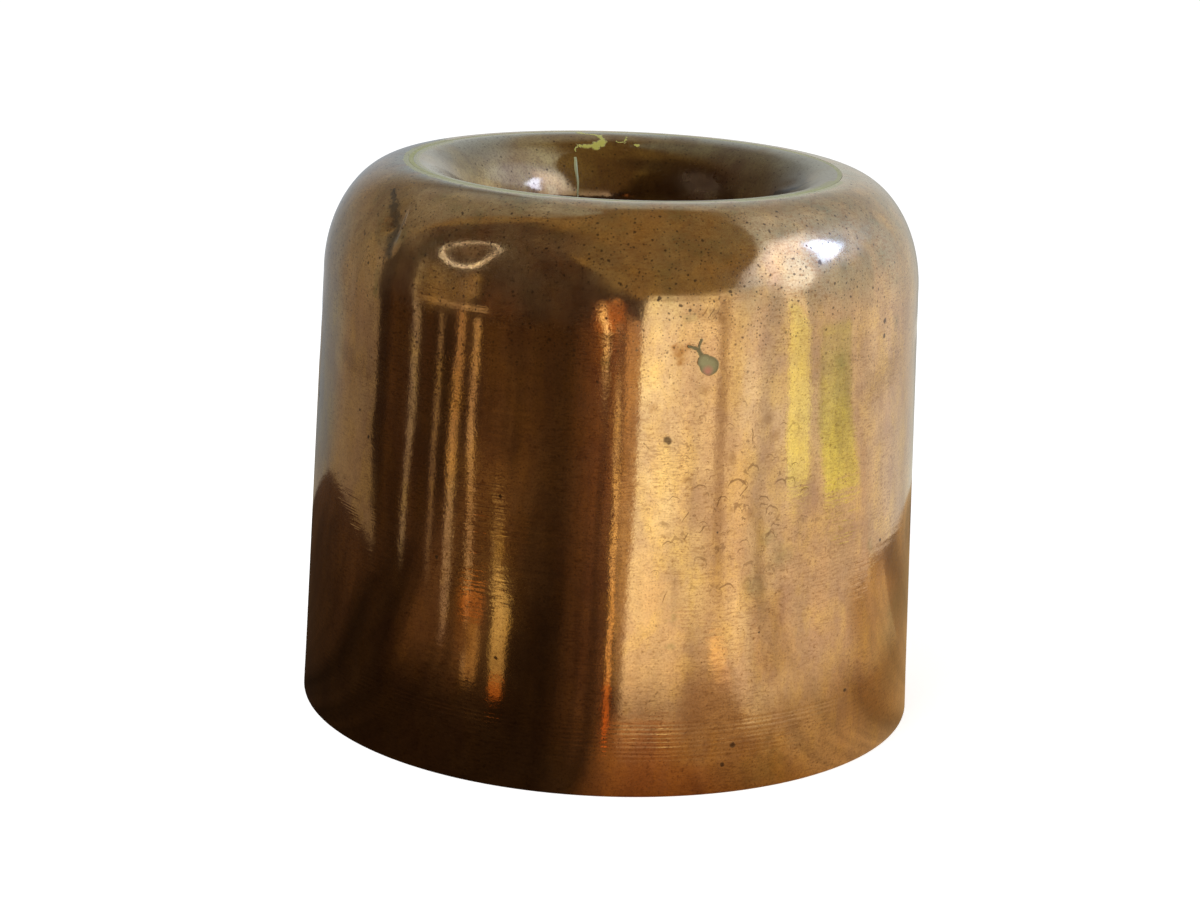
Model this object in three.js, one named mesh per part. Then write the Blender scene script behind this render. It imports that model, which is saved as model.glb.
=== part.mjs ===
// Copper ring mould for jellies and cakes, standing mouth down as it does on a shelf.
// Units are millimetres, +Z is up, and the origin is the centre of the mouth, in the plane of the rim.
// The casing and the well are two turned copper sheets, brazed together on the crest. The well is
// rolled up from a flat sheet, brazed down one side and closed at its foot by a dished cap.
// Every face that touches food has a coat of wiped tin.
import * as THREE from "three";

// The casing, measured on its outside.
const rimRadius = 63.5; // a 5 inch mould
const mouldHeight = 111.2; // rim to crest
const wallDraft = 3.05; // how much the wall draws in from the rim to the shoulder, so that a jelly slips out
const shoulderReach = 16.1; // level run of the rounded shoulder
const shoulderDrop = 22.8; // height of the rounded shoulder
const crestWidth = 1.6; // level ring on top, which the mould stands on in use
const rimChamfer = 0.3; // where the trimmed edge was broken with a file

// The well, measured on the side that is seen from above.
const lipReach = 11.0; // level run of the well's rounded lip
const lipDrop = 15.9; // height of the well's rounded lip
const wellDraftAngle = THREE.MathUtils.degToRad(5.5); // the cone's slope from the upright
const capLift = 6.0; // the cap's lowest point above the rim plane
const capDish = 4.2; // how far the cap is dished
const capSkirt = 5.0; // height of the cap's upturned edge, which sleeves over the cone

// Sheet, joints and coats.
const copperSheet = 1.2; // thickness of all copper
const tinCoat = 0.25; // thickness of the wiped tin
const jointGap = 0.1; // room between neighbouring pieces
const lapWidth = 4.6; // how far the well's flange runs out under the shoulder
const crestSeamWidth = 0.9; // brass that shows between casing and lip
const crestSeamFall = 0.7; // how much narrower that brass is at the sheet's underside
const sideSeamWidth = 1.2; // brass that shows down the well
const sideSeamProud = 0.25; // how far it stands off the copper
const sideSeamAzimuth = 107; // degrees from +X towards +Y, moved to the middle of the nearest flat
const capFillet = 1.2; // leg of the brass fillet above the cap's skirt
const tinSetback = 0.4; // the tin stops this far above the rim's edge

// Faceting.
const turns = 72; // flats round each turned piece
const shoulderSteps = 7;
const lipSteps = 6;
const capSteps = 4;

const quarterTurn = Math.PI / 2;
const point = (radius, level) => new THREE.Vector2(radius, level);

const wallTopRadius = rimRadius - wallDraft;
const shoulderCentreRadius = wallTopRadius - shoulderReach;
const shoulderCentreLevel = mouldHeight - shoulderDrop;
const lipStartRadius = shoulderCentreRadius - crestWidth;
const lipCentreLevel = mouldHeight - lipDrop;
const casingEdgeRadius = lipStartRadius + crestSeamWidth;

// Corner number `step` of the shoulder's ellipse, set in by `depth` from the outside. Corner 0 tops the wall.
function shoulderCorner(depth, step) {
  const angle = (quarterTurn * step) / shoulderSteps;
  return point(
    shoulderCentreRadius + (shoulderReach - depth) * Math.cos(angle),
    shoulderCentreLevel + (shoulderDrop - depth) * Math.sin(angle),
  );
}

// A place on the flats between those corners, so that neighbouring sheets keep an even gap.
function onShoulder(depth, place) {
  const below = Math.min(Math.floor(place), shoulderSteps - 1);
  return shoulderCorner(depth, below).lerp(shoulderCorner(depth, below + 1), place - below);
}

// The outline along those flats, from one place to another, with each corner in between.
function alongShoulder(depth, from, to) {
  const corners = Array.from({ length: shoulderSteps + 1 }, (_, step) => step);
  const between = corners.filter((step) => step > Math.min(from, to) && step < Math.max(from, to));
  const inOrder = from < to ? between : between.reverse();
  return [from, ...inOrder, to].map((place) => onShoulder(depth, place));
}

// Points on the lip's ellipse, set in by `depth` from the side seen from above. A quarter turn is the crest.
function onLip(depth, angle) {
  return point(
    lipStartRadius + (lipReach - depth) * Math.cos(angle),
    lipCentreLevel + (lipDrop - depth) * Math.sin(angle),
  );
}

// A list of points along the lip's ellipse.
function alongLip(depth, from, to) {
  const share = (to - from) / lipSteps;
  return Array.from({ length: lipSteps + 1 }, (_, step) => onLip(depth, from + share * step));
}

// The lip ends where its ellipse has turned to the cone's slope.
const lipEndAngle = Math.PI - Math.atan((lipDrop / lipReach) * Math.tan(wellDraftAngle));

// Radius of the cone at a level, set in by `depth` from the side seen from above.
function coneRadius(depth, level) {
  const top = onLip(depth, lipEndAngle);
  return top.x - (top.y - level) * Math.tan(wellDraftAngle);
}

const capOuterDepth = 2 * copperSheet + jointGap; // outside of the skirt, counted from the well's inside
const capInnerDepth = copperSheet + jointGap;
const capEdgeLevel = capLift + capDish + copperSheet; // where the dish turns up into the skirt
const coneEndLevel = capEdgeLevel + jointGap;
const skirtTopLevel = capEdgeLevel + capSkirt;
const filletBaseLevel = skirtTopLevel + jointGap;
const filletTopLevel = filletBaseLevel + capFillet;

// The flange's tip and a joint's gap, as places along the shoulder, where a whole number is a corner.
const placePerAngle = shoulderSteps / quarterTurn;
const crestPlace = shoulderSteps;
const lapPlace = Math.acos(lapWidth / shoulderReach) * placePerAngle;
const gapPlace = (jointGap / (shoulderReach - capOuterDepth)) * placePerAngle;

// A closed turned body. The outline runs any way round, and is turned so that its faces point out.
function turned(outline) {
  const loop = THREE.ShapeUtils.isClockWise(outline) ? [...outline].reverse() : [...outline];
  loop.push(loop[0].clone());
  return new THREE.LatheGeometry(loop, turns).rotateX(quarterTurn);
}

// A turned body that is closed on the axis, from an outline that starts and ends there and runs upwards outside.
function turnedCap(outline) {
  return new THREE.LatheGeometry(outline, turns).rotateX(quarterTurn);
}

const copper = new THREE.MeshStandardMaterial({ color: 0xb9824f, roughness: 0.24, metalness: 1 });
const wellCopper = new THREE.MeshStandardMaterial({ color: 0x9c6f4a, roughness: 0.28, metalness: 1 });
const spelter = new THREE.MeshStandardMaterial({ color: 0xb5ac6a, roughness: 0.42, metalness: 1 });
const tin = new THREE.MeshStandardMaterial({ color: 0xb4b3ae, roughness: 0.45, metalness: 1 });

// The casing: wall, rounded shoulder and crest in one spun sheet, cut square where the well joins it.
function casingOutline() {
  const inside = rimRadius - copperSheet;
  return [
    point(inside, 0),
    point(rimRadius - rimChamfer, 0),
    point(rimRadius, rimChamfer),
    ...alongShoulder(0, 0, crestPlace),
    point(casingEdgeRadius, mouldHeight),
    point(casingEdgeRadius, mouldHeight - copperSheet),
    ...alongShoulder(copperSheet, crestPlace, 0),
  ];
}

// The well: flange under the shoulder, set up through the sheet's thickness to the crest, then lip and cone.
function wellOutline() {
  const flangeTop = copperSheet + jointGap;
  const flangeUnder = flangeTop + copperSheet;
  const seamFoot = casingEdgeRadius - (crestSeamWidth - crestSeamFall);
  return [
    ...alongShoulder(flangeTop, lapPlace, crestPlace),
    point(seamFoot, mouldHeight - flangeTop),
    ...alongLip(0, quarterTurn, lipEndAngle),
    point(coneRadius(0, coneEndLevel), coneEndLevel),
    point(coneRadius(copperSheet, coneEndLevel), coneEndLevel),
    ...alongLip(copperSheet, lipEndAngle, quarterTurn).slice(0, -1),
    point(lipStartRadius, mouldHeight - flangeUnder),
    ...alongShoulder(flangeUnder, crestPlace, lapPlace),
  ];
}

// The brass between the casing's edge and the lip, wider at the top where the two sheets part.
function crestSeamOutline() {
  const foot = mouldHeight - copperSheet;
  const outer = casingEdgeRadius - jointGap / 2;
  const inner = lipStartRadius + jointGap;
  return [
    point(inner, mouldHeight),
    point(outer, mouldHeight),
    point(outer, foot),
    point(inner + crestSeamFall * (1 - jointGap / copperSheet), foot),
  ];
}

// The brass line down the well's side, an upright strip that follows the lip and the cone.
function sideSeamGeometry() {
  const flatness = Math.cos(Math.PI / turns); // the well's flats lie this much nearer the axis than its corners
  const flatAngle = 360 / turns;
  const azimuth = (Math.floor(sideSeamAzimuth / flatAngle) + 0.5) * flatAngle;
  const seat = (spot) => point(spot.x * flatness - jointGap / 2, spot.y);
  const startAngle = quarterTurn + 0.35 * (lipEndAngle - quarterTurn);
  const foot = coneEndLevel + sideSeamProud;
  const strip = (depth) => [
    ...alongLip(depth, startAngle, lipEndAngle),
    point(coneRadius(depth, foot), foot),
  ];
  const back = strip(-jointGap / 2).map(seat);
  const face = strip(-jointGap / 2 - sideSeamProud).map(seat);
  const shape = new THREE.Shape([...back, ...face.reverse()]);
  const strips = new THREE.ExtrudeGeometry(shape, { depth: sideSeamWidth, bevelEnabled: false });
  return strips
    .translate(0, 0, -sideSeamWidth / 2)
    .rotateX(quarterTurn)
    .rotateZ(THREE.MathUtils.degToRad(azimuth));
}

// Half outline of the cap's dish at one depth, from the axis out to the foot of the skirt.
function dish(depth, sink) {
  const edge = coneRadius(depth, capEdgeLevel);
  return Array.from({ length: capSteps + 1 }, (_, step) => {
    const angle = quarterTurn * (1 - step / capSteps);
    return point(edge * Math.cos(angle), capEdgeLevel - sink * Math.sin(angle));
  }).map((spot, step) => (step === 0 ? point(0, spot.y) : spot));
}

// The cap that closes the well's foot: a dished disc whose edge is turned up over the cone.
function capOutline() {
  return [
    ...dish(capOuterDepth, capDish + copperSheet),
    point(coneRadius(capOuterDepth, skirtTopLevel), skirtTopLevel),
    point(coneRadius(capInnerDepth, skirtTopLevel), skirtTopLevel),
    ...dish(capInnerDepth, capDish).reverse(),
  ];
}

// The brass fillet that seals the skirt's top edge to the cone.
function capSeamOutline() {
  return [
    point(coneRadius(capInnerDepth, filletBaseLevel), filletBaseLevel),
    point(coneRadius(capOuterDepth, filletBaseLevel), filletBaseLevel),
    point(coneRadius(capInnerDepth, filletTopLevel), filletTopLevel),
  ];
}

// The tin inside the casing, from just above the rim to the flange's tip.
function casingTinOutline() {
  const under = copperSheet + jointGap;
  const face = under + tinCoat;
  const end = lapPlace - 3 * gapPlace;
  const wallSlope = wallDraft / shoulderCentreLevel;
  const foot = (depth) => point(rimRadius - wallSlope * tinSetback - depth, tinSetback);
  return [
    foot(face),
    foot(under),
    ...alongShoulder(under, 0, end),
    ...alongShoulder(face, end, 0),
  ];
}

// The tin on the well's food side. Its outer end wraps the flange's tip, and its foot stops at the cap's fillet.
function wellTinOutline() {
  const casingSide = copperSheet + jointGap;
  const under = 2 * (copperSheet + jointGap);
  const face = under + tinCoat;
  const coneUnder = copperSheet + jointGap;
  const coneFace = coneUnder + tinCoat;
  const foot = filletTopLevel + 2 * jointGap;
  const wrapTip = lapPlace - 2 * gapPlace;
  const wrapBack = lapPlace - gapPlace;
  return [
    onShoulder(casingSide, wrapTip),
    onShoulder(casingSide, wrapBack),
    ...alongShoulder(under, wrapBack, crestPlace),
    point(lipStartRadius, mouldHeight - under),
    ...alongLip(coneUnder, quarterTurn, lipEndAngle).slice(1),
    point(coneRadius(coneUnder, foot), foot),
    point(coneRadius(coneFace, foot), foot),
    ...alongLip(coneFace, lipEndAngle, quarterTurn).slice(0, -1),
    point(lipStartRadius, mouldHeight - face),
    ...alongShoulder(face, crestPlace, wrapTip),
  ];
}

// The tin over the cap, its skirt and the brass fillet.
function capTinOutline() {
  const under = capOuterDepth + jointGap;
  const face = under + tinCoat;
  const gapUnderDish = jointGap;
  const top = filletTopLevel + jointGap;
  return [
    ...dish(face, capDish + copperSheet + gapUnderDish + tinCoat),
    point(coneRadius(face, filletBaseLevel), filletBaseLevel),
    point(coneRadius(capInnerDepth + jointGap + tinCoat, top), top),
    point(coneRadius(capInnerDepth + jointGap, top), top),
    point(coneRadius(under, filletBaseLevel), filletBaseLevel),
    ...dish(under, capDish + copperSheet + gapUnderDish).reverse(),
  ];
}

function piece(name, geometry, material) {
  const mesh = new THREE.Mesh(geometry, material);
  mesh.name = name;
  return mesh;
}

const mould = new THREE.Group();
mould.name = "copper_ring_mould";
mould.add(
  piece("casing", turned(casingOutline()), copper),
  piece("well", turned(wellOutline()), wellCopper),
  piece("well_cap", turnedCap(capOutline()), wellCopper),
  piece("crest_braze", turned(crestSeamOutline()), spelter),
  piece("well_side_braze", sideSeamGeometry(), spelter),
  piece("cap_braze", turned(capSeamOutline()), spelter),
  piece("casing_tinning", turned(casingTinOutline()), tin),
  piece("well_tinning", turned(wellTinOutline()), tin),
  piece("cap_tinning", turnedCap(capTinOutline()), tin),
);

export default mould;
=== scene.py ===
"""The looks of an old copper ring mould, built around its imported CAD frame.

The mould stands mouth down, as it does on a shelf. Each turned sheet of copper, each seam of brass and
each coat of tin is spun here with finer steps than in the frame, dented where it was knocked, and given
the finish that handling and years have left on it.
"""

from __future__ import annotations

import logging
import math
from dataclasses import dataclass, field
from enum import Enum
from functools import lru_cache
from typing import Any, Callable, Iterable, Optional, Sequence, Union

import bmesh
import bpy
from bpy.types import ID, Material, NodeSocket, NodeTree, Object, World
from mathutils import Matrix, Vector, noise

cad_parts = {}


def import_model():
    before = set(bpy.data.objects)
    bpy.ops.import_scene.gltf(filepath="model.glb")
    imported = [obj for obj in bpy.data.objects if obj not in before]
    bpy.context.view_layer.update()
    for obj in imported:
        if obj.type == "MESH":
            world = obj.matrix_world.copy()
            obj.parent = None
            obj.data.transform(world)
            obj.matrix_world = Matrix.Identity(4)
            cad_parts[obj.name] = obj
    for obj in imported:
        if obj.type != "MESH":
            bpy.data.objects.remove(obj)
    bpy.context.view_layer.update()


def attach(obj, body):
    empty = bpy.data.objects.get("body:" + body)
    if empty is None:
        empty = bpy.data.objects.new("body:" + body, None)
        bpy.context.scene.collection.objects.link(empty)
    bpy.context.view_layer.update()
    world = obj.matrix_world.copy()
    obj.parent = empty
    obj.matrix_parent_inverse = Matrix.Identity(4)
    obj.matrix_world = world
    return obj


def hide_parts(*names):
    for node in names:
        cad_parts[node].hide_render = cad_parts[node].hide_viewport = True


LOG = logging.getLogger("ring_mould")

MM = 0.001
BODY = "root"
CREASE_ANGLE = math.radians(40)

Pair = tuple[float, float]
Triple = tuple[float, float, float]
Profile = list[Pair]
Spot = tuple[Vector, float]
Line = tuple[Vector, Vector, float]
Reading = Union[float, Sequence[float], NodeSocket]


def linear(code: str) -> tuple[float, ...]:
    """Turns an sRGB hex colour to linear light.

    Args:
        code: Six hex digits, such as "b9824f".

    Returns:
        Red, green, blue and an alpha of 1.
    """
    shares = [int(code[place : place + 2], 16) / 255 for place in (0, 2, 4)]
    light = [s / 12.92 if s <= 0.04045 else ((s + 0.055) / 1.055) ** 2.4 for s in shares]
    return (light[0], light[1], light[2], 1.0)


def smooth_step(low: float, high: float, value: float) -> float:
    """Runs smoothly from 0 at low to 1 at high."""
    share = min(1.0, max(0.0, (value - low) / (high - low)))
    return share * share * (3 - 2 * share)


def on_axis(azimuth: float, radius: float, level: float) -> Vector:
    """The point in millimetres at an azimuth in degrees, a radius and a level."""
    angle = math.radians(azimuth)
    return Vector((radius * math.cos(angle), radius * math.sin(angle), level))


def add(
    tree: NodeTree,
    kind: str,
    inputs: Optional[dict[Union[int, str], Reading]] = None,
    output: Union[int, str] = 0,
    **settings: Any,
) -> NodeSocket:
    """Adds a node with its settings and links.

    Args:
        tree: The tree that the node goes in.
        kind: Blender's name for the node, without its ShaderNode prefix.
        inputs: What each input holds, a value or another node's socket.
        output: The output that is handed back.
        **settings: The node's own settings.

    Returns:
        The output socket that was asked for, or None where the node has no outputs.
    """
    node = tree.nodes.new("ShaderNode" + kind)
    for name, value in settings.items():
        setattr(node, name, value)
    for key, reading in (inputs or {}).items():
        socket = node.inputs[key]
        if isinstance(reading, NodeSocket):
            tree.links.new(reading, socket)
        else:
            socket.default_value = reading
    return node.outputs[output] if node.outputs else None


def stand(name: str, data: ID) -> Object:
    """Puts an object with this data in the scene."""
    thing = bpy.data.objects.new(name, data)
    bpy.context.scene.collection.objects.link(thing)
    return thing


def settle(name: str, mesh: bmesh.types.BMesh, material: Material) -> Object:
    """Turns a finished bmesh into an object of one material, and frees it."""
    data = bpy.data.meshes.new(name)
    mesh.to_mesh(data)
    mesh.free()
    data.materials.append(material)
    return stand(name, data)


def bare_tree(owner: Union[Material, World]) -> NodeTree:
    """The owner's node tree, emptied."""
    owner.use_nodes = True
    owner.node_tree.nodes.clear()
    return owner.node_tree


# Sizes of the mould


@dataclass(frozen=True)
class Sizes:
    """The mould's own measures in millimetres, as the frame has them."""

    rim_radius: float = 63.5
    height: float = 111.2
    wall_draft: float = 3.05
    shoulder_reach: float = 16.1
    shoulder_drop: float = 22.8
    crest_width: float = 1.6
    lip_reach: float = 11.0
    lip_drop: float = 15.9
    well_slope: float = math.radians(5.5)
    sheet: float = 1.2
    tin: float = 0.25
    gap: float = 0.1
    seam_width: float = 0.9
    flange: float = 4.6
    cap_lift: float = 6.0
    cap_dish: float = 4.2
    cap_skirt: float = 5.0

    @property
    def wall_top_radius(self) -> float:
        """Radius of the wall where the shoulder starts."""
        return self.rim_radius - self.wall_draft

    @property
    def shoulder_centre(self) -> Pair:
        """Radius and level of the centre of the shoulder's ellipse."""
        return (self.wall_top_radius - self.shoulder_reach, self.height - self.shoulder_drop)

    @property
    def lip_centre(self) -> Pair:
        """Radius and level of the centre of the lip's ellipse."""
        return (self.shoulder_centre[0] - self.crest_width, self.height - self.lip_drop)

    @property
    def seam_radius(self) -> float:
        """Radius at which the casing's sheet ends on the crest."""
        return self.lip_centre[0] + self.seam_width

    @property
    def cap_edge(self) -> float:
        """Level at which the cap's dish turns up."""
        return self.cap_lift + self.cap_dish + self.sheet

    @staticmethod
    def arc(centre: Pair, reach: Pair, turn: Pair, steps: int) -> Profile:
        """Points along part of an ellipse.

        Args:
            centre: Radius and level of its centre.
            reach: Half its width and half its height.
            turn: First and last angle in degrees, where 0 points outwards and 90 up.
            steps: Number of steps between them.

        Returns:
            Radius and level of each point.
        """
        start, end = turn
        angles = [math.radians(start + (end - start) * k / steps) for k in range(steps + 1)]
        (radius, level), (across, up) = centre, reach
        return [(radius + across * math.cos(a), level + up * math.sin(a)) for a in angles]

    def shoulder(self, depth: float, start: float, end: float, steps: int) -> Profile:
        """Points along the shoulder, set in by depth, from 0 degrees at the wall to 90 at the crest."""
        reach = (self.shoulder_reach - depth, self.shoulder_drop - depth)
        return self.arc(self.shoulder_centre, reach, (start, end), steps)

    def lip_end(self) -> float:
        """Angle in degrees at which the lip has turned to the cone's slope."""
        return 180 - math.degrees(math.atan(self.lip_drop / self.lip_reach * math.tan(self.well_slope)))

    def lip(self, depth: float, start: float, end: float, steps: int) -> Profile:
        """Points along the lip, set in by depth, with the same angles as the shoulder's."""
        reach = (self.lip_reach - depth, self.lip_drop - depth)
        return self.arc(self.lip_centre, reach, (start, end), steps)

    def cone(self, depth: float, level: float) -> float:
        """Radius of the well's cone at a level, set in by depth."""
        top_radius, top_level = self.lip(depth, self.lip_end(), self.lip_end(), 1)[0]
        return top_radius - (top_level - level) * math.tan(self.well_slope)

    def dish(self, depth: float, sink: float, steps: int) -> Profile:
        """Points of the cap's dish from the axis out to its edge."""
        edge = self.cone(depth, self.cap_edge)
        angles = [math.radians(90 * (1 - k / steps)) for k in range(steps + 1)]
        rise = [self.cap_edge - sink * math.sin(a) for a in angles]
        return [(edge * math.cos(a) if k else 0.0, rise[k]) for k, a in enumerate(angles)]

    def wall_radius(self, level: float) -> float:
        """Outside radius of the straight wall at a level."""
        return self.rim_radius - self.wall_draft * level / self.shoulder_centre[1]

    def outside(self, azimuth: float, level: float) -> Vector:
        """The place on the wall or the shoulder at an azimuth and a level."""
        centre, top = self.shoulder_centre
        if level <= top:
            return on_axis(azimuth, self.wall_radius(level), level)
        rise = (level - top) / self.shoulder_drop
        return on_axis(azimuth, centre + self.shoulder_reach * math.sqrt(1 - rise * rise), level)

    def on_lip(self, azimuth: float, radius: float) -> Vector:
        """The place on the lip's face at an azimuth and a radius."""
        centre, top = self.lip_centre
        share = (centre - radius) / self.lip_reach
        return on_axis(azimuth, radius, top + self.lip_drop * math.sqrt(1 - share * share))


SIZES = Sizes()


# Knocks and dents, which are in the sheets themselves


@lru_cache(maxsize=None)
def length_along(level: float) -> float:
    """Distance along the casing's outline from the rim to a level, in millimetres."""
    top = SIZES.shoulder_centre[1]
    slant = math.cos(math.atan(SIZES.wall_draft / top))
    if level <= top:
        return level / slant
    angle = math.asin(min(1.0, (level - top) / SIZES.shoulder_drop))
    points = SIZES.shoulder(0, 0, math.degrees(angle), 24)
    return top / slant + sum(math.dist(a, b) for a, b in zip(points, points[1:]))


@lru_cache(maxsize=None)
def layer_depth(radius: float, level: float) -> float:
    """How deep a place of the shoulder or its linings lies under the outside, in millimetres."""
    centre, top = SIZES.shoulder_centre
    low, high = -0.5, 8.0
    for _ in range(24):
        middle = (low + high) / 2
        across = (radius - centre) / (SIZES.shoulder_reach - middle)
        up = max(0.0, level - top) / (SIZES.shoulder_drop - middle)
        low, high = (low, middle) if math.hypot(max(0.0, across), up) > 1 else (middle, high)
    return low


@dataclass(frozen=True)
class Knock:
    """A hollow from a glancing blow, deepest near one side.

    Sizes are in millimetres along the surface. Skew runs from -1, deepest at its left edge as seen from
    outside, to 1 at its right edge.
    """

    azimuth: float
    level: float
    half_width: float
    half_height: float
    depth: float
    tilt: float = 0.0
    skew: float = 0.0

    def inwards(self, azimuth: float, along: float, radius: float) -> float:
        """How far this knock draws the surface in.

        Args:
            azimuth: Azimuth of the place, in degrees.
            along: Distance along the sheet's outline from the rim.
            radius: Radius of the place.

        Returns:
            Millimetres inwards.
        """
        turn = (azimuth - self.azimuth + 180) % 360 - 180
        across = math.radians(turn) * radius
        up = along - length_along(self.level)
        if abs(across) > 2 * self.half_width or abs(up) > 2 * self.half_height:
            return 0.0
        cos, sin = math.cos(self.tilt), math.sin(self.tilt)
        x = (across * cos + up * sin) / self.half_width
        y = (up * cos - across * sin) / self.half_height
        if self.skew:
            share = 0.5 * (1 + self.skew * 0.8)
            x = (x - 2 * share + 1) / (2 * share if x < 2 * share - 1 else 2 - 2 * share)
        return self.depth * (1 - smooth_step(0.0, 1.0, math.hypot(x, y)))


@dataclass(frozen=True)
class Flat:
    """A flat beaten into the shoulder by something hard and level.

    The sheet keeps its thickness, so each layer stops at its own depth behind the plate's face.
    """

    azimuth: float
    elevation: float
    radius: float
    level: float
    depth: float
    softness: float = 0.25
    hollow: float = 0.08

    def shift(self, place: Vector, under: float) -> Vector:
        """How far a place moves, in millimetres.

        Args:
            place: The place, in millimetres.
            under: How deep its layer lies under the outside.

        Returns:
            The move.
        """
        rise = math.radians(self.elevation)
        outwards = on_axis(self.azimuth, math.cos(rise), math.sin(rise))
        face = on_axis(self.azimuth, self.radius, self.level) - outwards * (self.depth + under)
        proud = (place - face).dot(outwards)
        if proud < -4 * self.softness:
            return Vector((0, 0, 0))
        pressed = self.softness * math.log1p(math.exp(min(40.0, proud / self.softness)))
        return -outwards * pressed * (1 + self.hollow * smooth_step(0, self.depth, proud))


CASING_KNOCKS = (
    Knock(-72.0, 103.0, 8.0, 2.6, 0.14, tilt=0.12, skew=0.3),
    Knock(-142.5, 103.2, 4.4, 7.0, 1.10, tilt=0.22, skew=0.9),
    Knock(-56.0, 100.5, 6.0, 5.0, 0.10),
    Knock(-13.0, 41.0, 6.0, 9.0, 0.18),
    Knock(-152.0, 92.0, 5.0, 9.0, 0.10, skew=0.5),
)
SHOULDER_FLAT = Flat(-81.3, 42.0, 54.3, 106.2, 1.2, softness=0.45)


@dataclass(frozen=True)
class Relief:
    """The shape that use has left in the casing and what lines it.

    The slow waves have a height and a length, and run level for a share of their slope. They die out
    towards the rim and the crest, and knocks die out at the crest, between the levels given.
    """

    wave: float = 0.08
    wave_length: float = 30.0
    flatter: float = 0.55
    foot_band: Pair = (1.0, 8.0)
    head_band: Pair = (104.0, 109.0)
    crest_band: Pair = (108.0, 110.5)
    inside: Pair = (8.0, 6.0)
    flat_above: float = 90.0

    def shift(self, place: Vector) -> Vector:
        """How far a place on the casing moves, in millimetres."""
        radius = math.hypot(place.x, place.y)
        azimuth = math.degrees(math.atan2(place.y, place.x))
        level = round(min(place.z, SIZES.height), 3)
        along = length_along(level)
        inwards = sum(knock.inwards(azimuth, along, radius) for knock in CASING_KNOCKS)
        spot = Vector((place.x, place.y, place.z * self.flatter)) / self.wave_length
        swell = (0.5 + 0.5 * noise.noise(spot)) * self.wave
        held = smooth_step(*self.foot_band, level) * (1 - smooth_step(*self.head_band, level))
        inwards = inwards * (1 - smooth_step(*self.crest_band, level)) + swell * held
        centre_radius, centre_level = (c - i for c, i in zip(SIZES.shoulder_centre, self.inside))
        way = Vector((centre_radius - radius, min(0.0, centre_level - level))).normalized() * inwards
        share = way.x / radius
        move = Vector((place.x * share, place.y * share, way.y))
        if level > self.flat_above:
            move += SHOULDER_FLAT.shift(place, layer_depth(round(radius, 3), level))
        return move


class Form:
    """A closed mesh that is shaped with bmesh and becomes one piece of the mould."""

    def __init__(self, name: str) -> None:
        """Starts an empty form."""
        self.name = name
        self.mesh = bmesh.new()

    def spin(self, outline: Profile, steps: int, closed: bool = True) -> None:
        """Turns an outline about the axis.

        Args:
            outline: Radius and level of each point, in millimetres.
            steps: Number of steps in the full turn.
            closed: Whether the last point joins the first. Otherwise both lie on the axis.
        """
        points = [self.mesh.verts.new((r * MM, 0, z * MM)) for r, z in outline]
        pairs = list(zip(points, points[1:] + points[:1] if closed else points[1:]))
        edges = [self.mesh.edges.new(pair) for pair in pairs]
        bmesh.ops.spin(
            self.mesh,
            geom=points + edges,
            cent=(0, 0, 0),
            axis=(0, 0, 1),
            angle=math.tau,
            steps=steps,
            use_merge=True,
            use_duplicate=False,
        )
        bmesh.ops.remove_doubles(self.mesh, verts=self.mesh.verts, dist=0.0005 * MM)
        bmesh.ops.recalc_face_normals(self.mesh, faces=self.mesh.faces)

    def press(self, shift: Callable[[Vector], Vector]) -> None:
        """Moves every vertex as a rule says, both in millimetres."""
        for vert in self.mesh.verts:
            vert.co += shift(vert.co / MM) * MM

    def finish(self, material: Material, slot: str, *nodes: str) -> Object:
        """Makes the form an object that stands for CAD nodes.

        Args:
            material: Its finish.
            slot: The name of its material slot; not used.
            *nodes: The CAD nodes that it stands for.

        Returns:
            The finished object.
        """
        thing = settle(self.name, self.mesh, material)
        thing.data.shade_smooth()
        thing.data.set_sharp_from_angle(angle=CREASE_ANGLE)
        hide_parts(*nodes)
        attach(thing, BODY)
        LOG.info("%s: %d faces, for %s", self.name, len(thing.data.polygons), ", ".join(nodes))
        return thing


def levels(start: float, end: float, pitch: float) -> list[float]:
    """Levels from start up to but not including end, about a pitch apart."""
    count = max(1, round(abs(end - start) / pitch))
    return [start + (end - start) * k / count for k in range(count)]


# Finishes


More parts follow.
